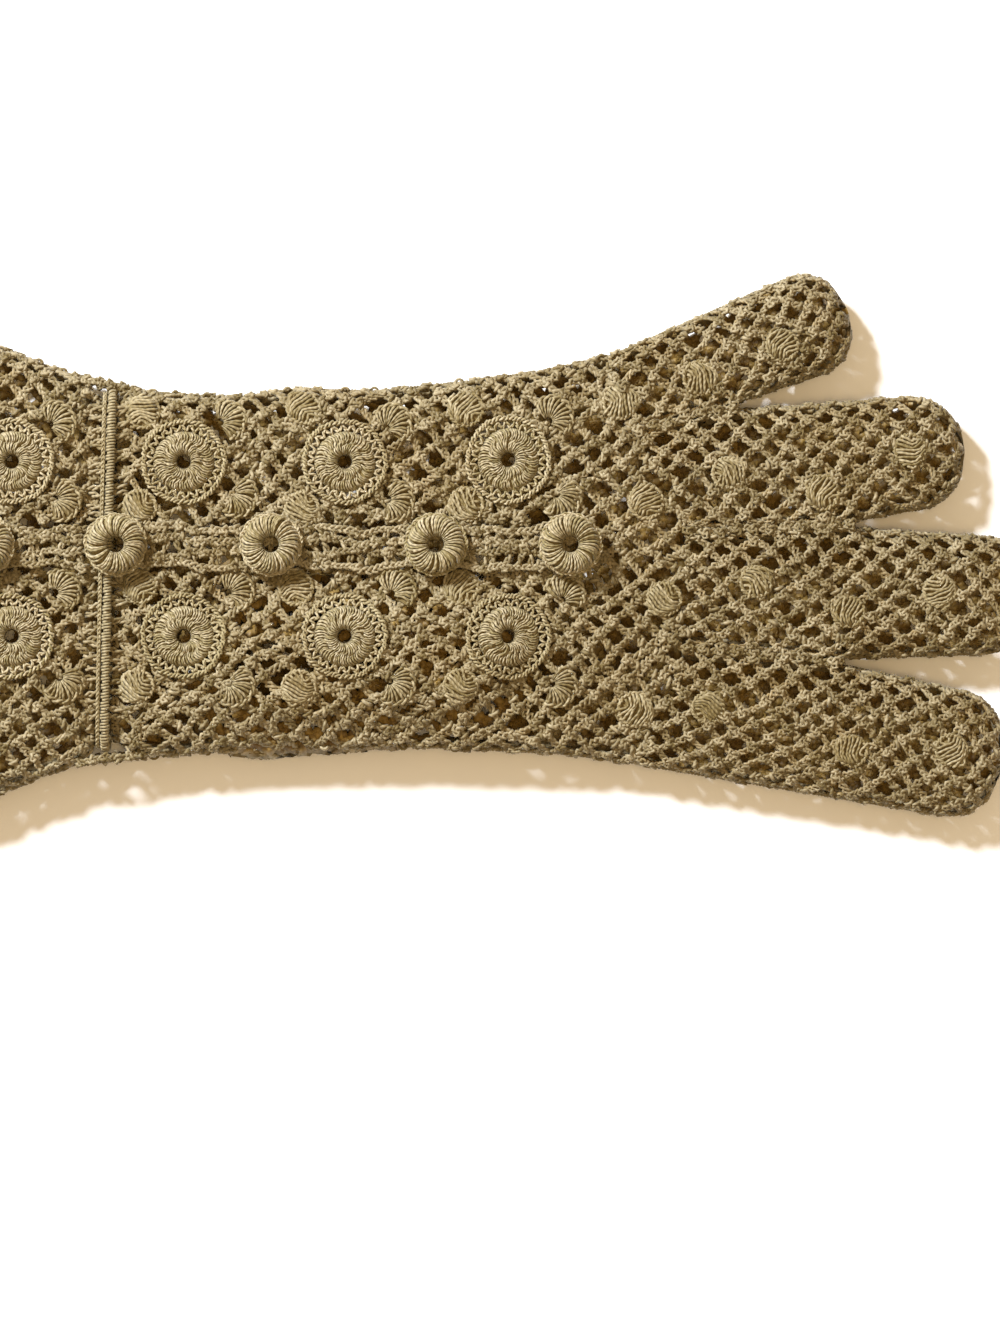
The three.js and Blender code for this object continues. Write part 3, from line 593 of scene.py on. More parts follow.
@dataclass
class Threads:
    """Thread meshes gathered for one piece: points, faces, thread map, tone and depth, which sets
    the painted shade.
    """

    points: list[Array] = field(default_factory=list)
    faces: list[Array] = field(default_factory=list)
    maps: list[Array] = field(default_factory=list)
    tones: list[Array] = field(default_factory=list)
    depths: list[Array] = field(default_factory=list)
    count: int = 0

    def add(self, points: Array, faces: Array, maps: Array, tones: Array, depths: Array) -> None:
        """Appends a mesh and moves its face numbers past what is there already.

        Args:
            points: points of the mesh.
            faces: corner numbers.
            maps: thread map at each corner.
            tones: tone of each point.
            depths: depth of each point.
        """
        self.points.append(points.reshape(-1, 3))
        self.faces.append(faces.reshape(-1, 4) + self.count)
        self.maps.append(maps.reshape(-1, 2))
        self.tones.append(tones.reshape(-1))
        self.depths.append(depths.reshape(-1))
        self.count += points.size // 3

    def cord(
        self, kind: Cord, path: Array, phase: Array, rng: Rng, hint: Array = UP,
        closed: bool = False, skin: Skin | None = None,
    ) -> None:
        """Lays a cord along one path or several, as tubes does its threads."""
        path = path.reshape(-1, path.shape[-2], 3)
        phase = phase.reshape(-1, path.shape[1])
        self.tubes(kind.strands(path, phase, hint, closed), kind.thread, hint, rng, closed, skin)

    def tubes(
        self, path: Array, radius: Values, hint: Array, rng: Rng, closed: bool = False,
        skin: Skin | None = None, sides: int = 4,
    ) -> None:
        """Adds round threads along paths.

        Each ring is the path's point plus radius times cosine and sine round the two directions
        across it, which come from the tangent and a hint direction. Ends are closed.

        Args:
            path: points, shape (threads, points, 3), on a skin or in place.
            radius: thread radius, one number or one for each point of the path.
            hint: direction that no path follows, broadcast to the path.
            rng: source of each thread's tone.
            closed: True where each path is a loop.
            skin: the skin to carry the threads onto, or none.
            sides: corners of the thread's section, an even number.
        """
        path = path.reshape(-1, path.shape[-2], 3)
        threads, count = path.shape[:2]
        across, over = cross_ways(path, hint, closed)
        angle = TURN * (np.arange(sides) + 0.5) / sides
        thick = np.broadcast_to(np.asarray(radius, dtype=float), (threads, count))[..., None, None]
        cos, sin = np.cos(angle)[:, None], np.sin(angle)[:, None]
        ring = cos * across[:, :, None] + sin * over[:, :, None]
        points = path[:, :, None] + thick * ring
        depths = np.zeros(points.shape[:-1])
        if skin is not None:
            # Depth under the skin sets the painted shade of the finish; it fades out near the edges,
            # where the inner threads are lit.
            edge = np.abs(skin.share(points[..., :2]))
            sheltered = np.clip((FADE_FROM - edge) / FADE_WIDTH, 0.0, 1.0)
            depths = sheltered * np.maximum(0.0, -points[..., 2])
            points = skin.place(points)
        first = np.arange(threads)[:, None, None] * count * sides
        rows = count if closed else count - 1
        i = np.arange(rows)[None, :, None]
        j = np.arange(sides)[None, None, :]
        next_i, next_j = (i + 1) % count, (j + 1) % sides
        corners = ((i, j), (i, next_j), (next_i, next_j), (next_i, j))
        faces = np.stack([first + a * sides + b for a, b in corners], axis=-1)
        step = np.linalg.norm(np.diff(path, axis=1), axis=-1)
        length = np.concatenate([np.zeros((threads, 1)), np.cumsum(step, axis=1)], axis=1)
        if closed:
            length = np.concatenate([length, length[:, -1:] + step[:, :1]], axis=1)
        length = length + 5.0 * rng.random((threads, 1))
        low, high = length[:, :rows, None], length[:, 1:rows + 1, None]
        left, right = j / sides, j / sides + 1.0 / sides
        corners = ((low, left), (low, right), (high, right), (high, left))
        maps = np.stack([stacked(*corner) for corner in corners], axis=-2)
        self.add(points, faces, maps, np.repeat(rng.random(threads), count * sides), depths)
        if not closed:
            self.close_ends(threads, count, sides, length)

    def close_ends(self, threads: int, count: int, sides: int, length: Array) -> None:
        """Lays strips of four-cornered faces over both ends of the threads added last.

        Args:
            threads: how many threads.
            count: points of each thread.
            sides: corners of a thread's section.
            length: length so far at each point.
        """
        k = np.arange(sides // 2 - 1)
        strip = np.stack([k, k + 1, sides - 2 - k, sides - 1 - k], axis=-1)
        base = self.count - threads * count * sides
        first = (base + np.arange(threads) * count * sides)[:, None, None]
        for row, face in ((0, strip[None, :, ::-1]), (count - 1, strip[None])):
            self.faces.append((first + row * sides + face).reshape(-1, 4))
            along = np.repeat(length[:, row], 4 * len(k))
            self.maps.append(stacked(along, 0.5))

    def sheet(self, grid: Array) -> None:
        """Adds a dark sheet of painted shade from a grid of points, with a map that follows the
        grid.

        Args:
            grid: points in rows and columns.
        """
        rows, columns = grid.shape[:2]
        i, j = np.meshgrid(np.arange(rows - 1), np.arange(columns - 1), indexing="ij")
        corners = ((0, 0), (0, 1), (1, 1), (1, 0))
        faces = np.stack([(i + di) * columns + j + dj for di, dj in corners], axis=-1)
        maps = np.stack([stacked(i + di, j + dj) for di, dj in corners], axis=-2).astype(float)
        # Tone 0 and the shade depth paint the sheet as the shade between the stitches above it.
        self.add(grid, faces, maps, np.zeros(rows * columns), np.full(rows * columns, SHEET_SHADE_DEPTH))

    @property
    def triangles(self) -> int:
        """How many triangles the piece has."""
        return 2 * sum(len(block) for block in self.faces)

    def build(self, name: str, finish: Material, slot: str, *nodes: str) -> None:
        """Makes the mesh in metres in the row frame, dresses it and hangs it on the frame.

        Args:
            name: the piece's name.
            finish: its material.
            slot: not used.
            nodes: the frame's nodes that it stands for.
        """
        points = (np.concatenate(self.points) + ROW_SHIFT) * MILLIMETRE
        faces = np.concatenate(self.faces)
        mesh = bpy.data.meshes.new(name)
        mesh.vertices.add(len(points))
        mesh.vertices.foreach_set("co", points.ravel())
        mesh.loops.add(faces.size)
        mesh.loops.foreach_set("vertex_index", faces.ravel())
        mesh.polygons.add(len(faces))
        mesh.polygons.foreach_set("loop_start", np.arange(len(faces)) * 4)
        mesh.polygons.foreach_set("loop_total", np.full(len(faces), 4))
        mesh.polygons.foreach_set("use_smooth", np.ones(len(faces), dtype=bool))
        mesh.uv_layers.new(name="thread").data.foreach_set("uv", np.concatenate(self.maps).ravel())
        for kind, values in (("tone", self.tones), ("depth", self.depths)):
            data = mesh.attributes.new(kind, "FLOAT", "POINT").data
            data.foreach_set("value", np.concatenate(values))
        mesh.update(calc_edges=True)
        mesh.validate()
        mesh.materials.append(finish)
        piece = bpy.data.objects.new(name, mesh)
        bpy.context.scene.collection.objects.link(piece)
        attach(piece, BODY)
        if nodes:
            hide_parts(*nodes)
        log.info("%s: %d triangles", name, self.triangles)


def join(*parts: Threads) -> Threads:
    """One gathering of threads from several.

    Args:
        parts: the gatherings to join.

    Returns:
        The whole.
    """
    whole = Threads()
    for part in parts:
        for kind in ("points", "maps", "tones", "depths"):
            getattr(whole, kind).extend(getattr(part, kind))
        whole.faces.extend(block + whole.count for block in part.faces)
        whole.count += part.count
    return whole


@dataclass(frozen=True)
class NetStitch:
    """Sizes of the worked net."""

    pitch_along: float = 6.0
    pitch_across: float = 5.0
    thread: float = 0.43
    ply: Ply = Ply.PLAIT
    bar_half_width: float = 0.72
    bar_half_height: float = 0.34
    bar_points: int = 6
    bar_turn: float = 3.9
    depth: float = 0.85
    jitter: float = 0.68
    wander: float = 0.8
    sway: float = 0.62
    bow: float = 0.6
    knots: bool = True
    knot: float = 1.0
    wound: float = 0.33
    winding_thread: float = 0.42
    winding_room: float = 0.12
    shifted: bool = False


BACK_STITCH = NetStitch()
PALM_STITCH = NetStitch(
    ply=Ply.TWIST, bar_half_width=0.7, bar_half_height=0.3, bar_points=4, knots=False,
    thread=0.95, depth=1.25, wound=0.0, bow=0.2, jitter=0.2, shifted=True,
)
FINGER_STITCH = NetStitch(
    thread=0.38, bar_half_width=0.62, jitter=0.5, bow=0.55, wound=0.2, knot=1.15, sway=0.3,
)
FINGER_PALM_STITCH = replace(PALM_STITCH, sway=FINGER_STITCH.sway)


@dataclass(frozen=True)
class Motif:
    """A round place that the net leaves free, on the skin of the back."""

    x: float
    y: float
    radius: float


def clear_of(x: Array, y: Array, free: list[Motif]) -> Array:
    """True off every place that the net leaves free.

    Args:
        x: X of the places.
        y: Y of the places.
        free: places left free.

    Returns:
        True or False for each place.
    """
    clear = np.ones(np.shape(x), dtype=bool)
    for motif in free:
        clear &= np.hypot(x - motif.x, y - motif.y) > motif.radius
    return clear


def lattice(lowest: tuple[float, float], highest: tuple[float, float], stitch: NetStitch,
            rng: Rng) -> tuple[Array, Array]:
    """A staggered diamond lattice.

    Nodes stand where row plus column is even, or odd if shifted, and are joined diagonally. They
    are moved by a long wander and a shorter sway, both sines and cosines of the place, and by a
    random jitter.

    Args:
        lowest: least distance along and across.
        highest: greatest distance along and across.
        stitch: its pitches and how unevenly it is worked.
        rng: source of the unevenness.

    Returns:
        Start and end of each bar, both of shape (bars, 2), and each bar's ends are nodes.
    """
    step = np.array([stitch.pitch_along, stitch.pitch_across]) / 2.0
    first = np.floor(np.array(lowest) / step).astype(int) - 1
    last = np.ceil(np.array(highest) / step).astype(int) + 1
    i, j = np.meshgrid(*(np.arange(low, high + 1) for low, high in zip(first, last)), indexing="ij")
    places = np.stack([i, j], axis=-1) * step
    along, across = places[..., 0], places[..., 1]
    wander = stacked(np.sin(across / 9.0 + along / 17.0), np.cos(along / 7.0 - across / 13.0))
    sway = stacked(np.sin(along / 2.9 + across / 4.3), np.cos(along / 4.1 - across / 2.3))
    uneven = stitch.wander * wander + stitch.sway * sway
    places = places + uneven + spread(rng, stitch.jitter, *places.shape)
    even = (i + j) % 2 == int(stitch.shifted)
    up, down = even[:-1, :-1], even[:-1, 1:]
    starts = np.concatenate([places[:-1, :-1][up], places[:-1, 1:][down]])
    ends = np.concatenate([places[1:, 1:][up], places[1:, :-1][down]])
    return starts, ends


def trim(starts: Array, ends: Array, inside: Region, shortest: float = 0.7) -> tuple[Array, Array]:
    """Keeps the bars that lie in a region and cuts those that cross its edge, by halving.

    Args:
        starts: start of each bar.
        ends: end of each bar.
        inside: function that says which places are in the region.
        shortest: length under which a bar is left out.

    Returns:
        Start and end of the bars that are left.
    """
    a, b = inside(starts), inside(ends)
    swap = (b & ~a)[:, None]
    starts, ends = np.where(swap, ends, starts), np.where(swap, starts, ends)
    near, far = starts, ends
    for _ in range(7):
        middle = (near + far) / 2.0
        good = inside(middle)[:, None]
        near, far = np.where(good, middle, near), np.where(good, far, middle)
    ends = np.where((a ^ b)[:, None], near, ends)
    keep = (a | b) & (np.linalg.norm(ends - starts, axis=-1) > shortest)
    return starts[keep], ends[keep]


def left_of(run: Array) -> Array:
    """Plan vectors turned a quarter to the left."""
    return np.stack([-run[..., 1], run[..., 0]], axis=-1)


def add_bars(
    threads: Threads, skin: Skin, starts: Array, ends: Array, stitch: NetStitch, rng: Rng,
) -> None:
    """Works each bar of a net as a short plait or twist that bows a little by 4t(1 − t).

    Args:
        threads: gathers the threads.
        skin: what it lies on.
        starts: start of each bar.
        ends: end of each bar.
        stitch: its sizes.
        rng: source of unevenness.
    """
    count = len(starts)
    t = np.linspace(-0.06, 1.06, stitch.bar_points)[None, :, None]
    run = (ends - starts)[:, None]
    length = np.linalg.norm(run, axis=-1)
    normal = left_of(run) / length[..., None]
    bow = spread(rng, stitch.bow, count, 1, 1) * 4.0 * t * (1.0 - t)
    plan = starts[:, None] + t * run + bow * normal
    rise = spread(rng, 0.22, count, 1, 1) * 4.0 * t * (1.0 - t) - stitch.depth
    path = np.concatenate([plan, rise], axis=-1)
    turns = np.maximum(0.4, length / stitch.bar_turn)
    phase = TURN * (t[..., 0] * turns + rng.random((count, 1)))
    half_width = stitch.bar_half_width
    if stitch.ply is Ply.PLAIT:
        swell = rng.uniform(0.78, 1.2, (count, 1, 1))
        swell = swell * (1.0 + 0.18 * np.sin(TURN * (t + rng.random((count, 1, 1)))))
        half_width = half_width * swell[:, None, :, 0]
    bar = Cord(stitch.ply, half_width, stitch.bar_half_height, stitch.thread)
    threads.cord(bar, path, phase, rng, skin=skin)
    if stitch.wound > 0.0:
        add_windings(threads, skin, unit(ends - starts), plan[:, plan.shape[1] // 2], stitch, rng)


def add_windings(
    threads: Threads, skin: Skin, ways: Array, middles: Array, stitch: NetStitch, rng: Rng,
) -> None:
    """Winds a thread once round the middle of some bars.

    A winding is a circle about the bar: cosine across and sine over, leaning a little along it.

    Args:
        threads: gathers the threads.
        skin: what it lies on.
        ways: unit direction of each bar.
        middles: middle of each bar.
        stitch: its sizes.
        rng: source of unevenness.
    """
    chosen = rng.random(len(ways)) < stitch.wound
    run, middle = ways[chosen, None], middles[chosen, None]
    count = len(run)
    a = one_turn(6)[None, :, None]
    size = (stitch.bar_half_width + stitch.winding_room) * rng.uniform(0.95, 1.15, (count, 1, 1))
    lean = spread(rng, 0.6, count, 1, 1)
    flat = middle + size * np.cos(a) * left_of(run) + lean * np.cos(a) * run
    height = 0.78 * size * np.sin(a) - stitch.depth
    threads.tubes(np.concatenate([flat, height], axis=-1), stitch.winding_thread,
                  np.concatenate([run, 0 * run[..., :1]], -1), rng, closed=True, skin=skin)


def add_knots(
    threads: Threads, skin: Skin | None, places: Array, stitch: NetStitch, rng: Rng,
) -> None:
    """Ties a three-lobed knot at each place.

    A knot runs through (sin a + 2 sin 2a, cos a − 2 cos 2a, −sin 3a), scaled and turned.

    Args:
        threads: gathers the threads.
        skin: what it lies on.
        places: where the knots sit.
        stitch: its sizes.
        rng: source of unevenness.
    """
    count = len(places)
    a = one_turn(10)[None, :]
    turn = rng.uniform(0.0, TURN, (count, 1))
    size = stitch.knot * rng.uniform(0.31, 0.42, (count, 1))
    x, y = size * (np.sin(a) + 2 * np.sin(2 * a)), size * (np.cos(a) - 2 * np.cos(2 * a))
    z = -0.34 * np.sin(3 * a) - stitch.depth + rng.uniform(0.2, 0.55, (count, 1))
    if places.shape[1] == 3:
        z = z + places[:, None, 2]
    path = np.stack([x * np.cos(turn) - y * np.sin(turn) + places[:, None, 0],
                     x * np.sin(turn) + y * np.cos(turn) + places[:, None, 1], z], axis=-1)
    threads.tubes(path, stitch.thread, UP, rng, closed=True, skin=skin)


def net_nodes(starts: Array, ends: Array) -> Array:
    """The nodes that bars share: places where at least two of their ends meet."""
    places = np.round(np.concatenate([starts, ends]), 3)
    nodes, count = np.unique(places, axis=0, return_counts=True)
    return nodes[count > 1]


def work_net(
    skin: Skin, lowest: tuple[float, float], highest: tuple[float, float], inside: Region,
    stitch: NetStitch, seed: int,
) -> tuple[Threads, Threads]:
    """Works a net over a region of a skin.

    Args:
        skin: what it lies on.
        lowest: least distance along and across.
        highest: greatest distance along and across.
        inside: function that says which places are in the region.
        stitch: its sizes.
        seed: seed of its unevenness.

    Returns:
        The bars and the knots.
    """
    rng = np.random.default_rng(seed)
    starts, ends = trim(*lattice(lowest, highest, stitch, rng), inside)
    bars, knots = Threads(), Threads()
    add_bars(bars, skin, starts, ends, stitch, rng)
    if stitch.knots:
        add_knots(knots, skin, net_nodes(starts, ends), stitch, rng)
    return bars, knots


EDGE_CHAIN = Cord(Ply.PLAIT, 0.5, 0.26, 0.34)


def edge_chain(threads: Threads, skin: Skin, line: Array, rng: Rng, depth: float = 0.7) -> None:
    """Runs a plaited chain along a line on a skin, given as places along and across.

    Args:
        threads: gathers the threads.
        skin: what it lies on.
        line: places along and across.
        rng: source of unevenness.
        depth: how deep under the skin.
    """
    step = np.linalg.norm(np.diff(line, axis=0), axis=-1)
    length = np.concatenate([[0.0], np.cumsum(step)])
    at = np.linspace(0.0, length[-1], max(4, int(length[-1] / 0.65)))
    plan = [np.interp(at, length, line[:, k]) for k in (0, 1)]
    threads.cord(EDGE_CHAIN, stacked(*plan, -depth), TURN * at / 3.6, rng, skin=skin)


def add_node(
    tree: bpy.types.NodeTree, kind: str, settings: dict | None = None, links: dict | None = None,
) -> bpy.types.Node:
    """Adds a shader node.

    Args:
        tree: the material's node tree.
        kind: the node's type name, without its first word.
        settings: property names, or input names or numbers, with their values.
        links: input names or numbers, with the output sockets that feed them.

    Returns:
        The node.
    """
    node = tree.nodes.new("ShaderNode" + kind)
    for key, value in (settings or {}).items():
        if isinstance(key, str) and hasattr(node, key):
            setattr(node, key, value)
        else:
            node.inputs[key].default_value = value
    for key, socket in (links or {}).items():
        tree.links.new(socket, node.inputs[key])
    return node


def linear(code: str) -> tuple[float, float, float, float]:
    """A hex sRGB colour as linear numbers."""
    values = np.array([int(code[k:k + 2], 16) for k in (0, 2, 4)]) / 255.0
    values = np.where(values <= 0.04045, values / 12.92, ((values + 0.055) / 1.055) ** 2.4)
    return (*values.tolist(), 1.0)


@dataclass(frozen=True)
class CottonThread:
    """Matt mercerised cotton thread, plied and worked by hand, gone tan with age.

    It has a soft sheen along the fibres, fine slanting ply lines and uneven tan patches, with
    painted shade in the ply grooves and a browner painted shade deep in the work.
    """

    name: str
    light: str
    dark: str
    aged: str = "7a6538"
    # Colour of the painted shade, multiplied in where a thread lies deep in the work.
    depths: str = "f2d88a"
    roughness: float = 0.6
    specular: float = 0.45
    sheen: float = 0.08
    sheen_roughness: float = 0.5
    ply_pitch: float = 1.1
    patch: float = 14.0

    def material(self) -> Material:
        """Builds the finish: two tones by thread, patches of age, painted shade and a bump of ply
        lines.

        Returns:
            The material.
        """
        finish = bpy.data.materials.new(self.name)
        finish.use_nodes = True
        tree = finish.node_tree
        shader = tree.nodes["Principled BSDF"]
        for name, value in (
            ("Roughness", self.roughness), ("Specular IOR Level", self.specular),
            ("Sheen Weight", self.sheen), ("Sheen Roughness", self.sheen_roughness),
        ):
            shader.inputs[name].default_value = value

        def math(operation: str, settings: dict, links: dict) -> Socket:
            """A maths node's output."""
            return add_node(tree, "Math", {"operation": operation, **settings}, links).outputs[0]

        def mix(settings: dict, links: dict) -> Socket:
            """A colour mix's output."""
            return add_node(tree, "Mix", {"data_type": "RGBA", **settings}, links).outputs[2]

        def remap(low: float, high: float, new_low: float, new_high: float, value: Socket) -> Socket:
            """A value's place between two numbers, carried between two others."""
            ends = {"From Min": low, "From Max": high, "To Min": new_low, "To Max": new_high}
            return add_node(tree, "MapRange", ends, {"Value": value}).outputs["Result"]

        place = add_node(tree, "TexCoord").outputs
        tone = add_node(tree, "Attribute", {"attribute_name": "tone"}).outputs["Fac"]
        thread = mix({6: linear(self.dark), 7: linear(self.light)}, {0: tone})
        patches = add_node(tree, "TexNoise", {"Scale": 1000.0 / self.patch, "Detail": 3.0},
                           {"Vector": place["Object"]}).outputs["Fac"]
        aged = mix({7: linear(self.aged)}, {0: remap(0.45, 0.75, 0.0, 0.35, patches), 6: thread})
        parts = add_node(tree, "SeparateXYZ", links={0: place["UV"]}).outputs
        along = math("DIVIDE", {1: self.ply_pitch}, {0: parts["X"]})
        slant = math("MULTIPLY_ADD", {1: 2.0}, {0: parts["Y"], 2: along})
        ply = math("SINE", {}, {0: math("MULTIPLY", {1: TURN}, {0: slant})})
        spot = {"Vector": place["Object"]}
        fibre = add_node(tree, "TexNoise", {"Scale": 4000.0, "Detail": 2.0}, spot)
        height = math("MULTIPLY_ADD", {1: 0.8}, {0: fibre.outputs["Fac"], 2: ply})
        relief = {"Strength": 0.7, "Distance": 0.05 * MILLIMETRE}
        bump = add_node(tree, "Bump", relief, {"Height": height})
        # Painted shade in the ply grooves: the colour darkens along the ply sine.
        groove_shade = remap(-1.0, 1.0, 0.82, 1.05, ply)
        shade = mix({"blend_type": "MULTIPLY", 0: 1.0}, {6: aged, 7: groove_shade})
        # Painted shade: threads deep in the work are multiplied by the depths colour, by their
        # depth.
        depth = add_node(tree, "Attribute", {"attribute_name": "depth"}).outputs["Fac"]
        deep = mix({"blend_type": "MULTIPLY", 7: linear(self.depths)},
                   {0: remap(0.4, 1.5, 0.0, 1.0, depth), 6: shade})
        tree.links.new(deep, shader.inputs["Base Color"])
        tree.links.new(bump.outputs["Normal"], shader.inputs["Normal"])
        return finish


MOTIF_ACROSS = {"little": 0.228, "index": -0.252}
HAND_MOTIFS = (0.132, 0.408, 0.688)
CUFF_MOTIFS = (0.31, 0.8)
CUFF_BUTTONS = (0.4, 0.82)
WRIST_BUTTON = 0.017
HAND_BUTTONS = (0.282, 0.564, 0.794)
FAN_OFFSETS = {
    "little": ((-8.4, -9.0), (11.4, -7.9), (-8.3, 10.3), (9.9, 8.8)),
    "index": ((-9.3, 9.8), (11.3, 9.9), (-9.0, -10.2), (11.3, -10.4)),
}
KNUCKLE_OVALS = ((102.4, 27.2), (107.6, 8.4), (111.2, -10.8), (105.4, -32.6))
PLACKET_MIDDLE = -0.5
PLACKET_HALF = 4.7
PLACKET_END = 94.0


@dataclass(frozen=True)
class StitchRound:
    """A round of radial stitches: between two radii, how many, how unevenly, swirled and dipped."""

    inner: float
    outer: float
    count: int
    inner_play: tuple[float, float]
    outer_play: float
    swirl: float
    dip: float


@dataclass(frozen=True)
class LoopRing:
    """A twisted ring of loops: radius, turns, how far it zigzags, its height and its strands."""

    radius: float
    turns: int
    zigzag: float
    rise: float
    cord: Cord


@dataclass
class RoundMotifs:
    """The large round motifs: a domed disc of radial stitches, a zigzag ring and a rim."""

    DOME: ClassVar[tuple[tuple[float, ...], ...]] = (
        (1.2, 1.5, 2.2, 3.2, 4.6, 5.9, 8.2), (-0.2, 0.5, 1.0, 1.05, 0.85, 0.4, 0.1),
    )
    WAY: ClassVar[tuple[float, ...]] = (0.0, 0.12, 0.4, 0.75, 1.0)
    rounds: tuple[StitchRound, ...] = (
        StitchRound(1.3, 3.9, 40, (0.0, 0.0), 0.6, 0.2, -1.2),
        StitchRound(3.5, 5.9, 62, (-0.7, 0.5), 0.0, 0.2 - 0.32, 0.0),
    )
    loops: tuple[LoopRing, ...] = (
        LoopRing(6.75, 36, 0.62, 0.0, Cord(Ply.TWIST, 0.22, 0.3, 0.25)),
        LoopRing(7.85, 30, 0.0, 0.1, Cord(Ply.TWIST, 0.42, 0.3, 0.29)),
    )
    sheet_radii: tuple[float, ...] = (1.3 + 0.2, 2.4, 4.2, 6.1)
    free_radius: float = 8.6 - 0.2
    zigzags: float = 24.0
    thickest: float = 0.3

    def places(self) -> list[tuple[str, float, float]]:
        """Name and plan place of each motif, as the frame has them.

        Returns:
            Name and place of each.
        """
        return [
            (f"ring_motif_{part}_{row}_{k + 1}", share * length, across * FORM.palm_width)
            for row, across in MOTIF_ACROSS.items()
            for part, shares, length in (("cuff", CUFF_MOTIFS, -FORM.cuff_length),
                                         ("hand", HAND_MOTIFS, FORM.hand_length))
            for k, share in enumerate(shares)
        ]

    def radial(self, threads: Threads, skin: Skin, centre: tuple[float, float], rng: Rng) -> None:
        """Works the rounds of stitches.

        The disc's height follows a short table of radius and lift. A stitch is a thread that
        starts a little under it, bows up to it and goes under again, and swirls by the sine of
        the way.

        Args:
            threads: gathers the threads.
            skin: what it lies on.
            centre: plan centre.
            rng: source of unevenness.
        """
        share = np.array(self.WAY)[None]
        arch = np.sin(np.pi * share)
        for work in self.rounds:
            count = work.count
            near = work.inner + rng.uniform(*work.inner_play, (count, 1))
            far = work.outer + work.outer_play * spread(rng, 1.0, count, 1)
            radius = near + (far - near) * share
            angle = uneven_starts(rng, count, 0.2) + work.swirl * arch + spread(rng, 0.02, count, 1)
            bulge = 0.4 * arch - 0.35 + spread(rng, 0.15, count, 1)
            height = np.interp(radius, *self.DOME) + bulge + np.where(share == 0.0, work.dip, 0.0)
            thick = np.minimum(0.43 * TURN * radius / count, self.thickest)
            path = polar(centre, radius, angle, height)
            threads.tubes(path, thick, along_ring(angle), rng, skin=skin)

    def work(self, skin: Skin, x: float, y: float, seed: int) -> Threads:
        """Works one motif on the back: its rounds, its rings of loops and a dark sheet of painted
        shade below.

        Args:
            skin: what it lies on.
            x: distance along.
            y: distance across.
            seed: seed of its unevenness.

        Returns:
            Its threads.
        """
        rng = np.random.default_rng(seed)
        threads = Threads()
        self.radial(threads, skin, (x, y), rng)
        for ring in self.loops:
            around = one_turn(ring.turns * 4)
            uneven = ring.radius + ring.zigzag * np.sin(around * self.zigzags)
            uneven = uneven + 0.12 * np.sin(around * 5.0 + seed)
            uneven = uneven + (0.8 - ring.zigzag) * 0.45 * np.abs(np.sin(around * 11.0 + seed))
            height = ring.rise + 0.15 * np.sin(around * 3.0 + ring.radius)
            path = polar((x, y), uneven, around, height)
            phase = around * ring.turns + 0.7 * np.sin(around * 7.0 + seed)
            threads.cord(ring.cord, path, phase, rng, closed=True, skin=skin)
        # A dark sheet of painted shade under the stitches, seen between them.
        radius = np.array(self.sheet_radii)[:, None]
        lift = np.interp(radius, *self.DOME) - 0.45
        threads.sheet(skin.place(polar((x, y), radius, np.linspace(0.0, TURN, 37)[None, :], lift)))
        return threads

    def dress(self, skin: Skin, finish: Material) -> list[Motif]:
        """Makes every motif and returns the places that the net leaves free.

        Args:
            skin: what it lies on.
            finish: the material.

        Returns:
            The places that the net leaves free.
        """
        free = []
        for seed, (name, x, y) in enumerate(self.places()):
            stitches = self.work(skin, x, y, 100 + seed)
            stitches.build(f"{name}_stitches", finish, "motif_crochet", name)
            free.append(Motif(x, y, self.free_radius))
        return free


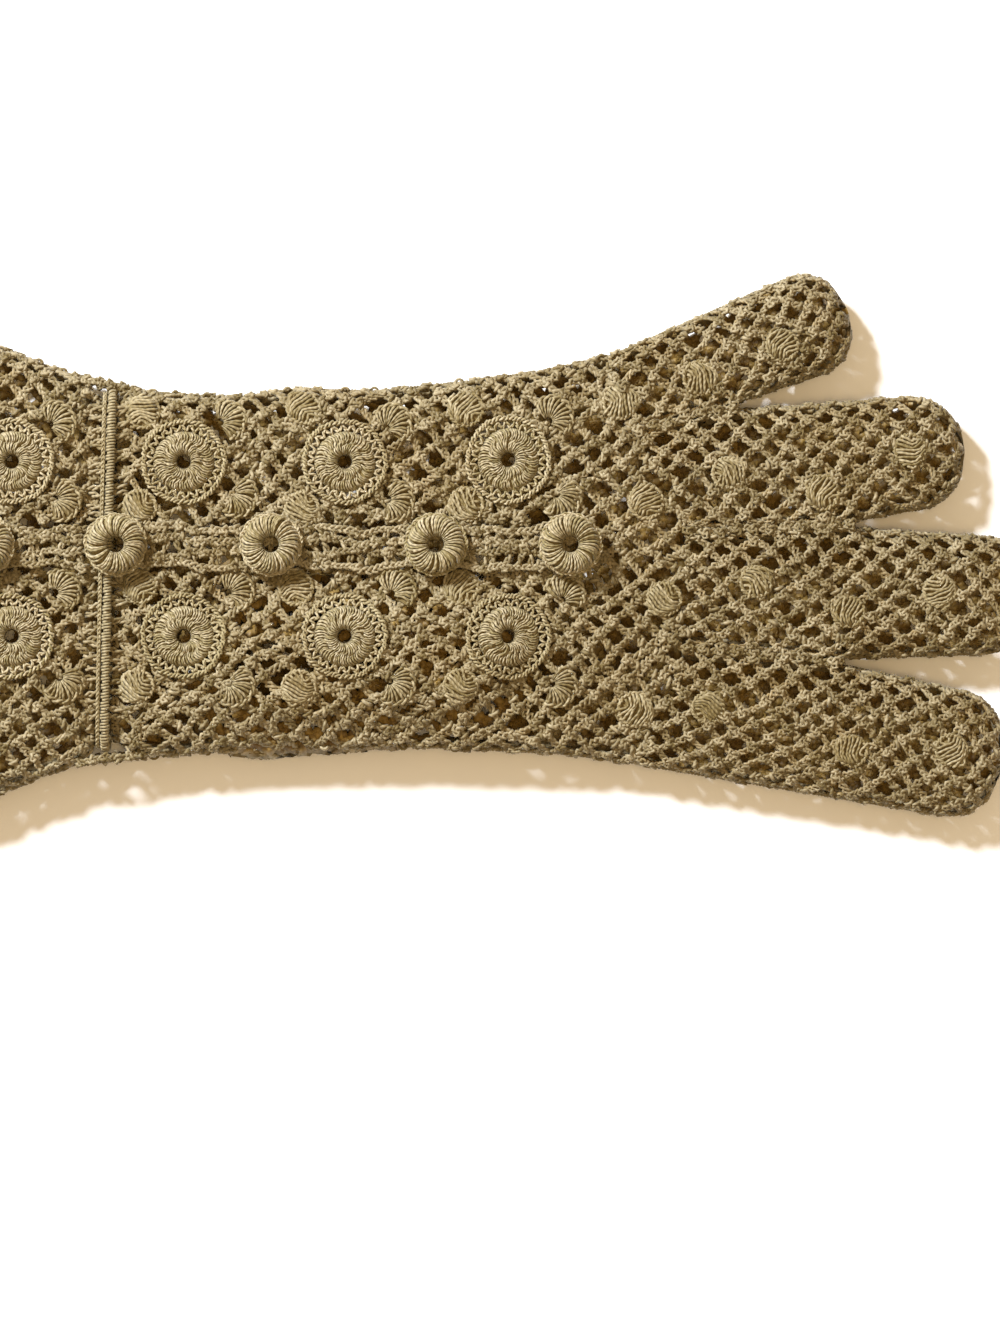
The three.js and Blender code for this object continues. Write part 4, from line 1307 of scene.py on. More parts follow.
@dataclass
class FanMotifs:
    """Small shells: fans that open from a base, and bobbins of bowed threads side by side."""

    reach: float = 5.2
    fan_threads: int = 13
    half_opening: float = 1.25
    bobbin_half: float = 3.1
    bobbin_threads: int = 10
    thread: float = 0.33
    fan_rim: Cord = Cord(Ply.TWIST, 0.34, 0.28, 0.34)
    bobbin_rim: Cord = Cord(Ply.TWIST, 0.3, 0.26, 0.32)

    def fan(self, threads: Threads, skin: Skin, place: Array, turn: float, seed: int) -> None:
        """Works a fan on a skin.

        Thread angles run evenly to the half opening each side of the heading. Each thread goes
        from beside the base out to the reach, which shrinks by the square of the angle. Its height
        is half a sine over the way.

        Args:
            threads: gathers the threads.
            skin: what it lies on.
            place: plan place.
            turn: heading.
            seed: seed of its unevenness.
        """
        rng = np.random.default_rng(seed)
        base = place[:2] - 0.55 * self.reach * np.array([np.cos(turn), np.sin(turn)])
        angle = turn + np.linspace(-self.half_opening, self.half_opening, self.fan_threads)[:, None]
        share = np.linspace(0.2, 1.0, 6)[None, :]
        reach = self.reach * share * (1.0 - 0.22 * ((angle - turn) / self.half_opening) ** 2)
        bend = angle + spread(rng, 0.05, *angle.shape) + 0.12 * np.sin(np.pi * share)
        height = 0.75 * np.sin(np.pi * (0.1 + 0.8 * share)) - 0.3 + spread(rng, 0.1, *bend.shape)
        spacing = 2.5 * reach / (self.fan_threads - 1)
        thick = np.clip(0.5 * spacing, 0.16, self.thread)
        threads.tubes(polar(base, reach, bend, height), thick, UP, rng, skin=skin)
        around = turn + np.linspace(-1.4, 1.4, 24)
        edge = (self.reach + 0.1) * (1.0 - 0.22 * ((around - turn) / self.half_opening) ** 2)
        threads.cord(self.fan_rim, polar(base, edge, around, -0.15), around * 9.0, rng, skin=skin)
        ring = np.array([0.3, 0.65, 0.97])[:, None] * edge[None]
        # A dark sheet of painted shade under the fan, seen between its threads.
        threads.sheet(skin.place(polar(base, ring, around, np.array([-0.7, -0.05, -0.5])[:, None])))

    def bobbin(self, threads: Threads, skin: Skin, place: Array, turn: float, seed: int) -> None:
        """Works a bobbin on a skin.

        Threads lie side by side across the heading. Each is a chord of the oval that bows along
        the heading and curls by a sine of the way, and its height is the square root of what its
        offset leaves of one, flattened towards both ends.

        Args:
            threads: gathers the threads.
            skin: what it lies on.
            place: plan place.
            turn: heading.
            seed: seed of its unevenness.
        """
        rng = np.random.default_rng(seed)
        offset = np.linspace(-0.93, 0.93, self.bobbin_threads)[:, None] * np.ones((1, 6))
        way = np.linspace(-1.0, 1.0, 6)[None, :] * np.ones_like(offset)
        chord = np.sqrt(1.0 - offset ** 2) * 0.95 + 0.12
        half, count = self.bobbin_half, len(offset)
        curl = 0.3 * (1.0 - way ** 2) + 0.1 * np.sin(3.6 * way + spread(rng, 1.4, count, 1))
        u = half * (offset * (1.0 - 0.25 * way) + curl) + spread(rng, 0.1, count, 1)
        v = 0.95 * half * way * chord
        crown = np.sqrt(np.maximum(0.0, 1.0 - 0.8 * offset ** 2))
        height = 0.34 * crown * (1.0 - 0.7 * way ** 2) - 0.28
        height = height + spread(rng, 0.1, *height.shape)
        cos, sin = np.cos(turn), np.sin(turn)
        x, y = place[0] + u * cos - v * sin, place[1] + u * sin + v * cos
        path = np.stack([x, y, height], axis=-1)
        threads.tubes(path, self.thread, UP, rng, skin=skin)
        around = one_turn(34)
        x, y = place[0] + (half + 0.2) * np.cos(around), place[1] + (half + 0.1) * np.sin(around)
        rim = stacked(x, y, -0.35)
        threads.cord(self.bobbin_rim, rim, around * 12.0, rng, closed=True, skin=skin)
        ring = np.array([0.05, 0.6, 1.0])[:, None] * half
        lift = np.array([-0.1, -0.25, -0.65])[:, None]
        # A dark sheet of painted shade under the bobbin, seen between its threads.
        threads.sheet(skin.place(polar(place, ring, np.linspace(0.0, TURN, 17)[None, :], lift)))

    def around_motifs(self) -> list[tuple[float, float, float]]:
        """Place and heading of the shells at the four corners of each large motif.

        Returns:
            Along, across and heading of each.
        """
        rng = np.random.default_rng(7)
        made = []
        for name, x, y in RoundMotifs().places():
            for dx, dy in FAN_OFFSETS["little" if "little" in name else "index"]:
                shift = spread(rng, 0.5, 2)
                made.append((x + dx + shift[0], y + dy + shift[1],
                             float(np.arctan2(dy, dx) + rng.uniform(-0.5, 0.5))))
        return made

    def dress(self, skin: Skin, finish: Material) -> list[Motif]:
        """Makes the shells of the cuff and of the hand and returns the places they take.

        Args:
            skin: what it lies on.
            finish: the material.

        Returns:
            The places that the net leaves free.
        """
        cuff, hand, free = Threads(), Threads(), []
        for seed, (x, y, turn) in enumerate(self.around_motifs()):
            if x < -FORM.cuff_length + 4.0 or abs(x) < 5.5:
                continue
            opens = np.cos(turn) > 0.0
            work = self.fan if opens else self.bobbin
            work(hand if x > 0 else cuff, skin, np.array([x, y]), turn, 300 + seed)
            free.append(Motif(x, y, self.bobbin_half - (0.8 if opens else 0.3)))
        for seed, (x, y) in enumerate(KNUCKLE_OVALS):
            self.bobbin(hand, skin, np.array([x, y]), 1.9 * seed + 0.3, 360 + seed)
            free.append(Motif(x, y, self.bobbin_half - 0.2))
        cuff.build("fan_motifs_cuff", finish, "motif_crochet")
        hand.build("fan_motifs_hand", finish, "motif_crochet")
        return free


@dataclass
class Buttons:
    """Padded ring buttons: threads worked over a round core, from the hole to a scalloped lip."""

    hole: float = 1.35
    rim: float = 6.0
    height: float = 3.0
    base: float = 13.7
    wraps: int = 46
    thread: float = 0.33
    core_sink: float = 0.55
    core_share: float = 0.98
    lip: Cord = Cord(Ply.PLAIT, 0.3, 0.22, 0.26)

    def places(self) -> list[tuple[str, float]]:
        """Name and place along X of each button.

        Returns:
            Name and place of each.
        """
        cuff, hand = (
            [(f"button_{part}_{k + 1}", share * length) for k, share in enumerate(shares)]
            for part, length, shares in (("cuff", -FORM.cuff_length, CUFF_BUTTONS),
                                         ("hand", FORM.hand_length, HAND_BUTTONS))
        )
        return cuff + [("button_wrist", WRIST_BUTTON * FORM.hand_length)] + hand

    def work(self, x: float, seed: int) -> Threads:
        """Works one button.

        A thread runs over the core's section, a half superellipse from the hole's wall over the
        crown to the rim, and its angle swirls by the sine of the way.

        Args:
            x: distance along.
            seed: seed of its unevenness.

        Returns:
            Its threads.
        """
        rng = np.random.default_rng(seed)
        threads = Threads()
        count, centre = self.wraps, (x, 0.0)
        t = np.linspace(0.0, 1.0, 9)[None, :]
        crown = np.sin(np.pi * t)
        arc = np.pi * (1.08 - 1.16 * t)
        middle, half = (self.hole + self.rim) / 2.0, (self.rim - self.hole) / 2.0 - self.thread
        lean = 0.72 + 0.28 * np.cos(np.pi * t)
        radius = middle + half * np.sign(np.cos(arc)) * np.abs(np.cos(arc)) ** 0.8
        top = (self.height - self.thread) * np.maximum(0.0, np.sin(arc)) ** 0.75
        height = self.base + self.thread + (top - self.thread) * lean ** 0.35
        start = uneven_starts(rng, count, 0.36)
        angle = start + 0.16 * np.sin(np.pi * t * 1.2) + spread(rng, 0.05, count, 1) * crown
        tall = height + rng.uniform(-0.16, 0.12, (count, 1)) * crown
        wide = radius * (1.0 + rng.uniform(-0.05, 0.025, (count, 1)) * t)
        thick = np.clip(0.47 * TURN * radius[0] / count, 0.14, 0.42)
        threads.tubes(polar(centre, wide, angle, tall), thick, along_ring(angle), rng)
        # The core, in the dark tone and the painted shade of deep work, as seen between the wraps.
        threads.sheet(polar(centre, radius.T * self.core_share, np.linspace(0.0, TURN, 41)[None, :],
                            np.maximum(self.base, height.T - self.core_sink)))
        edge = one_turn(84)
        lip = self.rim - 0.3 + 0.32 * np.abs(np.sin(7.0 * edge + seed))
        lip = lip + 0.1 * np.sin(3.0 * edge + seed)
        ring = polar(centre, lip, edge, self.base + 0.5 + 0.25 * np.sin(5.0 * edge + seed))
        threads.cord(self.lip, ring, edge * 14, rng, closed=True)
        return threads

    def dress(self, finish: Material) -> None:
        """Makes every button."""
        for seed, (name, x) in enumerate(self.places()):
            self.work(x, 500 + seed).build(f"{name}_wraps", finish, "ring_button", name)


@dataclass
class Placket:
    """Rows of chain along the middle of the back, joined by short bars that leave slots."""

    rows: tuple[float, ...] = (3.6, 1.25, -1.25, -3.7)
    wave: float = 0.56
    height: float = 0.45
    pitch: float = 0.58
    knot_share: float = 0.16
    bar_pitch: float = 2.5
    bar: Cord = Cord(Ply.TWIST, 0.42, 0.28, 0.4)

    def row_path(self, start: float, end: float, across: float, rng: Rng) -> Array:
        """Points of a row: along X, with three uneven sines across and two over the skin.

        Args:
            start: where it starts along X.
            end: where it ends along X.
            across: the row's place across.
            rng: source of unevenness.

        Returns:
            The points.
        """
        x = np.arange(start, end, self.pitch)
        phase = rng.uniform(0.0, 6.3, 4)
        wander = np.sin(x / 4.3 + phase[0]) + 0.6 * np.sin(x / 1.7 + phase[1])
        wander = wander + 0.35 * np.sin(x / 0.9 + phase[2])
        lift = self.height + 0.28 * np.sin(x / 2.3 + phase[3]) + 0.12 * np.sin(x / 1.1 + phase[0])
        return np.stack([x, PLACKET_MIDDLE + across + self.wave * wander, lift], axis=-1)

    def work(self, skin: Skin, start: float, end: float, seed: int) -> Threads:
        """Works the rows between two places along, the bars between the rows, and knots on both.

        Args:
            skin: what it lies on.
            start: where it starts along X.
            end: where it ends along X.
            seed: seed of its unevenness.

        Returns:
            Its threads.
        """
        rng = np.random.default_rng(seed)
        threads = Threads()
        knots = []
        for across in self.rows:
            path = self.row_path(start, end, across, rng)
            x = path[:, 0]
            phase = TURN * x / 3.1 + 0.7 * np.sin(x / 2.7 + across)
            swell = 0.6 + 0.12 * np.sin(x / 1.9 + 2.0 * across)
            chain = Cord(Ply.PLAIT, swell[None, None], 0.34, 0.38)
            threads.cord(chain, path, phase, rng, skin=skin)
            knots.append(path[rng.random(len(path)) < self.knot_share, :2])
        t = np.linspace(0.0, 1.0, 5)[None, :]
        for k, (high, low) in enumerate(zip(self.rows, self.rows[1:])):
            x = np.arange(start + 1.5 + 0.9 * k, end - 1.0, self.bar_pitch)
            x = (x + spread(rng, 0.9, len(x)))[:, None]
            lean = spread(rng, 1.5, len(x))[:, None]
            lift = 0.15 + rng.uniform(-0.1, 0.4, (len(x), 1)) * np.sin(np.pi * t)
            path = stacked(x + lean * (t - 0.5), PLACKET_MIDDLE + high + (low - high) * t, lift)
            threads.cord(self.bar, path, TURN * (0.7 * t + rng.random((len(x), 1))), rng, skin=skin)
        add_knots(threads, skin, np.concatenate(knots), NetStitch(depth=-self.height + 0.1), rng)
        return threads

    def dress(self, skin: Skin, finish: Material) -> None:
        """Makes the rows on the cuff and on the hand.

        Args:
            skin: what it lies on.
            finish: the material.
        """
        spans = (("cuff", -FORM.cuff_length + 0.4, -2.0), ("hand", 2.0, PLACKET_END))
        for seed, (part, start, end) in enumerate(spans, 600):
            rows = self.work(skin, start, end, seed)
            rows.build(f"placket_{part}_rows", finish, "placket_crochet", f"placket_{part}")


def section_loop(along: float, grow: float, count: int) -> Array:
    """A closed loop round the tube: top half, then bottom half, evenly spaced by arc length.

    Args:
        along: share along the hand, or along the cuff if negative.
        grow: how much wider and higher than the tube.
        count: how many points.

    Returns:
        The loop's points.
    """
    high, low, bottom, top = (float(v) for v in FORM.section(np.array(along)))
    half_width, half_height = (high - low) / 2.0 + grow, (top - bottom) / 2.0 + grow
    v = np.linspace(-1.0, 1.0, count // 2, endpoint=False)
    sizes = (np.full_like(v, size) for size in (half_width, half_height))
    u, w, _ = on_arc(v, *sizes, FORM.hand_squareness)
    y = (high + low) / 2.0 + np.concatenate([u, -u]) * half_width
    z = (top + bottom) / 2.0 + np.concatenate([w, -w]) * half_height
    x = along * FORM.cuff_length + FORM.wrist_slant * y * (1.0 + along)
    return np.stack([x, y, z], axis=-1)


def out_of(loop: Array) -> Array:
    """Outward direction of a loop round the tube: away from its middle, across its tangent."""
    return cross_ways(loop, ALONG, True)[0][None]


@dataclass
class WristCord:
    """The cord round the wrist: threads wrapped over a core, with a thin chain beside it."""

    width: float = 2.0
    thickness: float = 1.8
    pitch: float = 0.6
    thread: float = 0.31
    grow: float = 1.36
    shift: float = 0.35
    wrap_points: int = 8
    chain_points: int = 460
    chain_laps: float = 55.0
    chain_sink: float = 0.25
    chain_shift: float = -1.12
    chain: Cord = Cord(Ply.PLAIT, 0.28, 0.2, 0.24)
    side_chain: Cord = Cord(Ply.PLAIT, 0.5, 0.5, 0.38)
    side_heights: tuple[float, ...] = (2.6, 5.6, 8.6)
    tie: Cord = Cord(Ply.TWIST, 0.42, 0.3, 0.38)

    def dress(self, finish: Material) -> None:
        """Makes the wraps, a helix round the loop, and the chain at their cuff side.

        Args:
            finish: the material.
        """
        rng = np.random.default_rng(40)
        threads = Threads()
        each = self.wrap_points
        rough = section_loop(0.0, self.grow, 400)
        length = float(np.linalg.norm(np.roll(rough, -1, 0) - rough, axis=-1).sum())
        count = int(length / self.pitch) * each
        index = np.arange(count)
        closed = np.concatenate([rough, rough[:1]])
        at = index / count * len(rough)
        places = np.arange(len(closed))
        path = np.stack([np.interp(at, places, closed[:, k]) for k in range(3)], axis=-1)
        path[:, 0] += self.shift
        tangent = unit(np.roll(path, -each, axis=0) - np.roll(path, each, axis=0))
        out = unit(np.cross(tangent, ALONG))
        angle = TURN * index / each
        wrap = np.pi * index / (each * 3.3) + 0.6 * np.sin(index / (each * 4.1))
        groove = 1.0 - np.abs(np.sin(wrap))
        swell = 1.06 - 0.6 * groove ** 3 + 0.1 * np.sin(index / (each * 5.3))
        half_width = (self.width / 2.0 - self.thread) * swell
        half_height = (self.thickness / 2.0 - self.thread) * swell
        swing, rise = half_width * np.cos(angle), half_height * np.sin(angle)
        coil = path + swing[:, None] * ALONG + rise[:, None] * out
        threads.tubes(coil, self.thread, tangent[None], rng, closed=True)
        side = section_loop(0.0, self.grow - self.chain_sink, self.chain_points)
        side[:, 0] += self.chain_shift
        phase = TURN * np.arange(self.chain_points) / self.chain_points * self.chain_laps
        threads.cord(self.chain, side, phase, rng, out_of(side), closed=True)
        threads.build("wrist_cord_wraps", finish, "wrapped_cord", "wrist_cord")

    def gussets(self, finish: Material) -> None:
        """Chains one above the other that carry the net past the cord on both sides, with knots.

        Args:
            finish: the material.
        """
        rng = np.random.default_rng(44)
        threads = Threads()
        x = np.arange(-6.6, 6.7, 0.6)
        lengths = {0: FORM.cuff_length, -1: FORM.hand_length}
        ends = [FORM.section(np.array(x[k] / length)) for k, length in lengths.items()]
        for side, inward in ((0, 0.75), (1, -0.75)):
            for z in self.side_heights:
                y = np.interp(x, x[[0, -1]], [float(end[side]) for end in ends]) - inward
                path = stacked(x, y + 0.2 * np.sin(x / 1.3 + z), z + 0.5 * np.sin(x / 1.7 + z))
                threads.cord(self.side_chain, path, TURN * x / 3.2 + z, rng)
                seats = path[rng.integers(0, 4)::4] + (0.0, 0.0, 0.5)
                add_knots(threads, None, seats, BACK_STITCH, rng)
        threads.build("wrist_side_chains", finish, "crochet_net")

    def ties(self, skin: Skin, finish: Material) -> None:
        """Short straight pairs of thread from the cord's flanks to the net on the back.

        Args:
            skin: what it lies on.
            finish: the material.
        """
        rng = np.random.default_rng(45)
        threads = Threads()
        t = np.linspace(0.0, 1.0, 4)[None, :]
        for sign in (-1.0, 1.0):
            y = np.arange(-34.0, 29.0, 2.2)
            y = (y + spread(rng, 0.7, len(y)))[:, None]
            lean = spread(rng, 1.4, len(y), 1)
            away = 2.6 + rng.uniform(-0.3, 0.7, (len(y), 1))
            x = FORM.wrist_slant * y + sign * (0.9 + away * t)
            phase = TURN * (0.8 * t + rng.random((len(y), 1)))
            threads.cord(self.tie, stacked(x, y + lean * t, 0.9 - 1.5 * t), phase, rng, skin=skin)
        threads.build("wrist_ties", finish, "crochet_net")


@dataclass
class Hem:
    """The edging at the cuff's open end: two rows of chain side by side."""

    rows: tuple[float, ...] = (-61.6, -63.35)
    count: int = 560
    laps: float = 74.0
    grow: float = -0.55
    waves: int = 33
    wave: float = 0.15
    lowest: float = 0.85
    chain: Cord = Cord(Ply.PLAIT, 0.58, 0.3, 0.38)

    def dress(self, finish: Material) -> None:
        """Makes the rows as closed plaits round the cuff.

        Args:
            finish: the material.
        """
        rng = np.random.default_rng(50)
        threads = Threads()
        share = np.arange(self.count) / self.count
        for k, x in enumerate(self.rows):
            loop = section_loop(-1.0, self.grow, self.count)
            loop[:, 0] = x + self.wave * np.sin(share * TURN * self.waves + k)
            loop[:, 2] = np.maximum(loop[:, 2], self.lowest)
            threads.cord(self.chain, loop, TURN * share * self.laps, rng, out_of(loop), closed=True)
        threads.build("hem_edging_rows", finish, "hem_crochet", "hem_edging")


@dataclass
class HandNet:
    """The net of the hand and the cuff, back and palm."""

    seam: float = 1.7
    edge_share: float = 0.995
    side_insets: tuple[float, ...] = (2.5, 4.8)
    side_row: Cord = Cord(Ply.TWIST, 0.6, 0.3, PALM_STITCH.thread)
    picot_pitch: float = 5.6
    picot_thread: float = 0.36
    mouth_place: tuple[float, float] = (33.5, -24.9)
    mouth_reach: tuple[float, float] = (9.0, 6.5)
    free: list[Motif] = field(default_factory=list)

    def region(self, skin: Skin, cuff: bool, side: Side) -> Region:
        """A function that says which flat places belong to the net of one part and layer.

        Args:
            skin: what it lies on.
            cuff: True for the cuff, False for the hand.
            side: the upper or the lower layer.

        Returns:
            The function.
        """

        def inside(flat: Array) -> Array:
            """True inside the outline, off the seam, motifs, placket and thumb's mouth."""
            x, y = skin.plan(flat)
            wrist = FORM.wrist_slant * y
            good = np.abs(skin.share(flat)) <= self.edge_share
            if cuff:
                good &= (x > -FORM.cuff_length + 0.2) & (x < wrist - self.seam)
            else:
                good &= (x > wrist + self.seam) & (x < FORM.hand_reach(y) - 0.3)
            if side is Side.PALM:
                off = np.hypot((x - self.mouth_place[0]) / self.mouth_reach[0],
                               (y - self.mouth_place[1]) / self.mouth_reach[1])
                return good & (off > 1.0)
            placket = (np.abs(y - PLACKET_MIDDLE) < PLACKET_HALF) & (x < PLACKET_END)
            return good & ~placket & clear_of(x, y, self.free)

        return inside

    def side_chains(self, threads: Threads, skin: Skin, start: float, end: float, rng: Rng) -> None:
        """A chain along each side of the flat tube, with small loops that stand out from it.

        Args:
            threads: gathers the threads.
            skin: what it lies on.
            start: where it starts along X.
            end: where it ends along X.
            rng: source of unevenness.
        """
        x = np.arange(start, end, 1.0)
        for sign in (-1.0, 1.0):
            edge_chain(threads, skin, skin.side_line(x, sign * self.edge_share), rng)
            self.picots(threads, skin, start, end, sign, rng)

    def picots(
        self, threads: Threads, skin: Skin, start: float, end: float, sign: float, rng: Rng,
    ) -> None:
        """Loops along a side: half turns that rise outwards from the skin's edge.

        Args:
            threads: gathers the threads.
            skin: what it lies on.
            start: where it starts along X.
            end: where it ends along X.
            sign: which side, 1 or -1.
            rng: source of unevenness.
        """
        x = np.arange(start + 1.0, end - 1.0, self.picot_pitch)
        count = len(x)
        x = x + spread(rng, 1.1, count)
        a = np.linspace(0.0, np.pi, 6)[None, :]
        along = x[:, None] + rng.uniform(0.5, 0.9, (count, 1)) * np.cos(a)
        middle, reach = skin.width_at(along)
        across = middle + sign * reach * (0.985 - rng.uniform(0.0, 0.05, (count, 1)))
        height = -0.6 + rng.uniform(0.4, 0.8, (count, 1)) * np.sin(a)
        path = np.stack([along, across, height], axis=-1)
        threads.tubes(path, self.picot_thread, ACROSS, rng, skin=skin)

    def side_rows(self, threads: Threads, palm: Skin, start: float, end: float, rng: Rng) -> None:
        """Thick twisted rows under each side, which close the palm's net where it turns up.

        Args:
            threads: gathers the threads.
            palm: the lower layer's skin.
            start: where it starts along X.
            end: where it ends along X.
            rng: source of unevenness.
        """
        x = np.arange(start, end, 1.8)
        middle, reach = palm.width_at(x)
        for inset in self.side_insets:
            for sign in (-1.0, 1.0):
                across = middle + sign * (reach - inset + 0.4 * np.sin(x / 2.7))
                path = stacked(x, across, -PALM_STITCH.depth)
                threads.cord(self.side_row, path, TURN * x / 7.0, rng, skin=palm)

    def dress(self, back: Skin, palm: Skin, finish: Material) -> None:
        """Works and makes the four nets.

        Args:
            back: the upper layer's skin.
            palm: the lower layer's skin.
            finish: the material.
        """
        for name, low, high, start, end, seed in (("cuff", -62.0, 2.0, -60.5, -2.2, 20),
                                                  ("hand", -2.0, 118.0, 2.2, 100.0, 30)):
            cuff, span = name == "cuff", ((low, -64.0), (high, 64.0))
            inside = self.region(back, cuff, Side.BACK)
            bars, knots = work_net(back, *span, inside, BACK_STITCH, seed)
            bars.build(f"{name}_back_bars", finish, "crochet_net", f"{name}_net")
            knots.build(f"{name}_back_knots", finish, "crochet_net", f"{name}_net")
            inside = self.region(palm, cuff, Side.PALM)
            bars, _ = work_net(palm, *span, inside, PALM_STITCH, seed + 1)
            self.side_chains(bars, back, start, end, np.random.default_rng(seed + 2))
            self.side_rows(bars, palm, start, end, np.random.default_rng(seed + 3))
            bars.build(f"{name}_palm_bars", finish, "crochet_net", f"{name}_net")


@dataclass
class Fingers:
    """The four fingers: nets with small oval shells set in the back."""

    ovals: dict[str, tuple[tuple[float, float, float], ...]] = field(default_factory=lambda: {
        "little_finger": ((118.2, 33.6, 2.6), (134.8, 39.8, 3.4)),
        "ring_finger": ((124.0, 14.4, 2.8), (142.8, 11.0, 3.0), (160.4, 19.0, 2.8)),
        "middle_finger": ((129.6, -7.4, 2.8), (148.0, -13.4, 3.0), (166.2, -9.2, 3.0)),
        "index_finger": ((120.0, -32.6, 2.9), (148.6, -41.2, 3.0), (168.6, -41.0, 3.0)),
    })
    seam: Cord = Cord(Ply.PLAIT, 0.6, 0.3, 0.38)
    edge_share: float = 0.99

    def region(self, finger: FingerForm, skin: Skin, free: list[Motif]) -> Region:
        """A function that says which flat places belong to a finger's net.

        Args:
            finger: the finger.
            skin: what it lies on.
            free: places left free.

        Returns:
            The function.
        """

        def inside(flat: Array) -> Array:
            """True beyond the knuckles' line, inside the finger's edges and off its shells."""
            x, y = skin.plan(flat)
            good = np.abs(skin.share(flat)) <= self.edge_share
            good &= flat[..., 0] < finger.length - 0.4
            return good & (x > FORM.hand_reach(y) - 0.4) & clear_of(x, y, free)

        return inside

    def outline(self, threads: Threads, finger: FingerForm, skin: Skin, rng: Rng) -> None:
        """A chain round the finger's edge where its two layers meet, from root over tip to root."""
        for knuckle, sign, step in ((finger.place, 1.0, 1), (finger.place + 1, -1.0, -1)):
            t = np.arange(finger.free_from(knuckle, sign), finger.length, 0.8)[::step]
            edge_chain(threads, skin, skin.side_line(t, sign * self.edge_share), rng)

    def webs(self, seams: Threads, rng: Rng) -> None:
        """Joins the fingers up to where they part by chains with knots, above and below.

        Args:
            seams: gathers the threads.
            rng: source of unevenness.
        """
        for k in (1, 2, 3):
            way = web_way(k)
            t = np.arange(-1.0, FORM.knuckles[k][2] + 1.2, 0.65)
            sway = 0.35 * np.sin(t / 1.9 + k)[:, None] * sideways(way)
            plan = FORM.knuckle(k) + t[:, None] * way + sway
            for z in (FORM.finger_height - 0.9, 1.0):
                seams.cord(self.seam, stacked(plan[:, 0], plan[:, 1], z), TURN * t / 3.4, rng)
            seat = t[1:-1:5, None]
            aside = spread(rng, 0.5, len(seat))[:, None] * sideways(way)
            line = FORM.knuckle(k) + seat * way + aside
            seats = stacked(line[:, 0], line[:, 1], FORM.finger_height)
            add_knots(seams, None, seats, FINGER_STITCH, rng)

    def dress(self, net: Material, motif: Material) -> None:
        """Works and makes each finger.

        Args:
            net: the net's material.
            motif: the shells' material.
        """
        shells, seams = Threads(), Threads()
        self.webs(seams, np.random.default_rng(55))
        seams.build("finger_web_seams", net, "crochet_net")
        fans = FanMotifs(bobbin_half=2.9, bobbin_threads=9)
        for k, finger in enumerate(FINGERS):
            back, palm = finger.skin(Side.BACK), finger.skin(Side.PALM)
            free = [Motif(x, y, r * 0.95) for x, y, r in self.ovals[finger.name]]
            span = (-10.0, -20.0), (finger.length + 2.0, 20.0)
            over, below = self.region(finger, back, free), self.region(finger, palm, [])
            bars, knots = work_net(back, *span, over, FINGER_STITCH, 60 + k)
            under, _ = work_net(palm, *span, below, FINGER_PALM_STITCH, 70 + k)
            self.outline(under, finger, back, np.random.default_rng(80 + k))
            join(bars, knots, under).build(f"{finger.name}_net", net, "crochet_net", finger.name)
            for n, (x, y, _) in enumerate(self.ovals[finger.name]):
                place, turn = finger.local(np.array([x, y])), 2.2 * n + 0.4 * k
                fans.bobbin(shells, back, place, turn, 90 + 10 * k + n)
        shells.build("oval_motifs_fingers", motif, "motif_crochet")


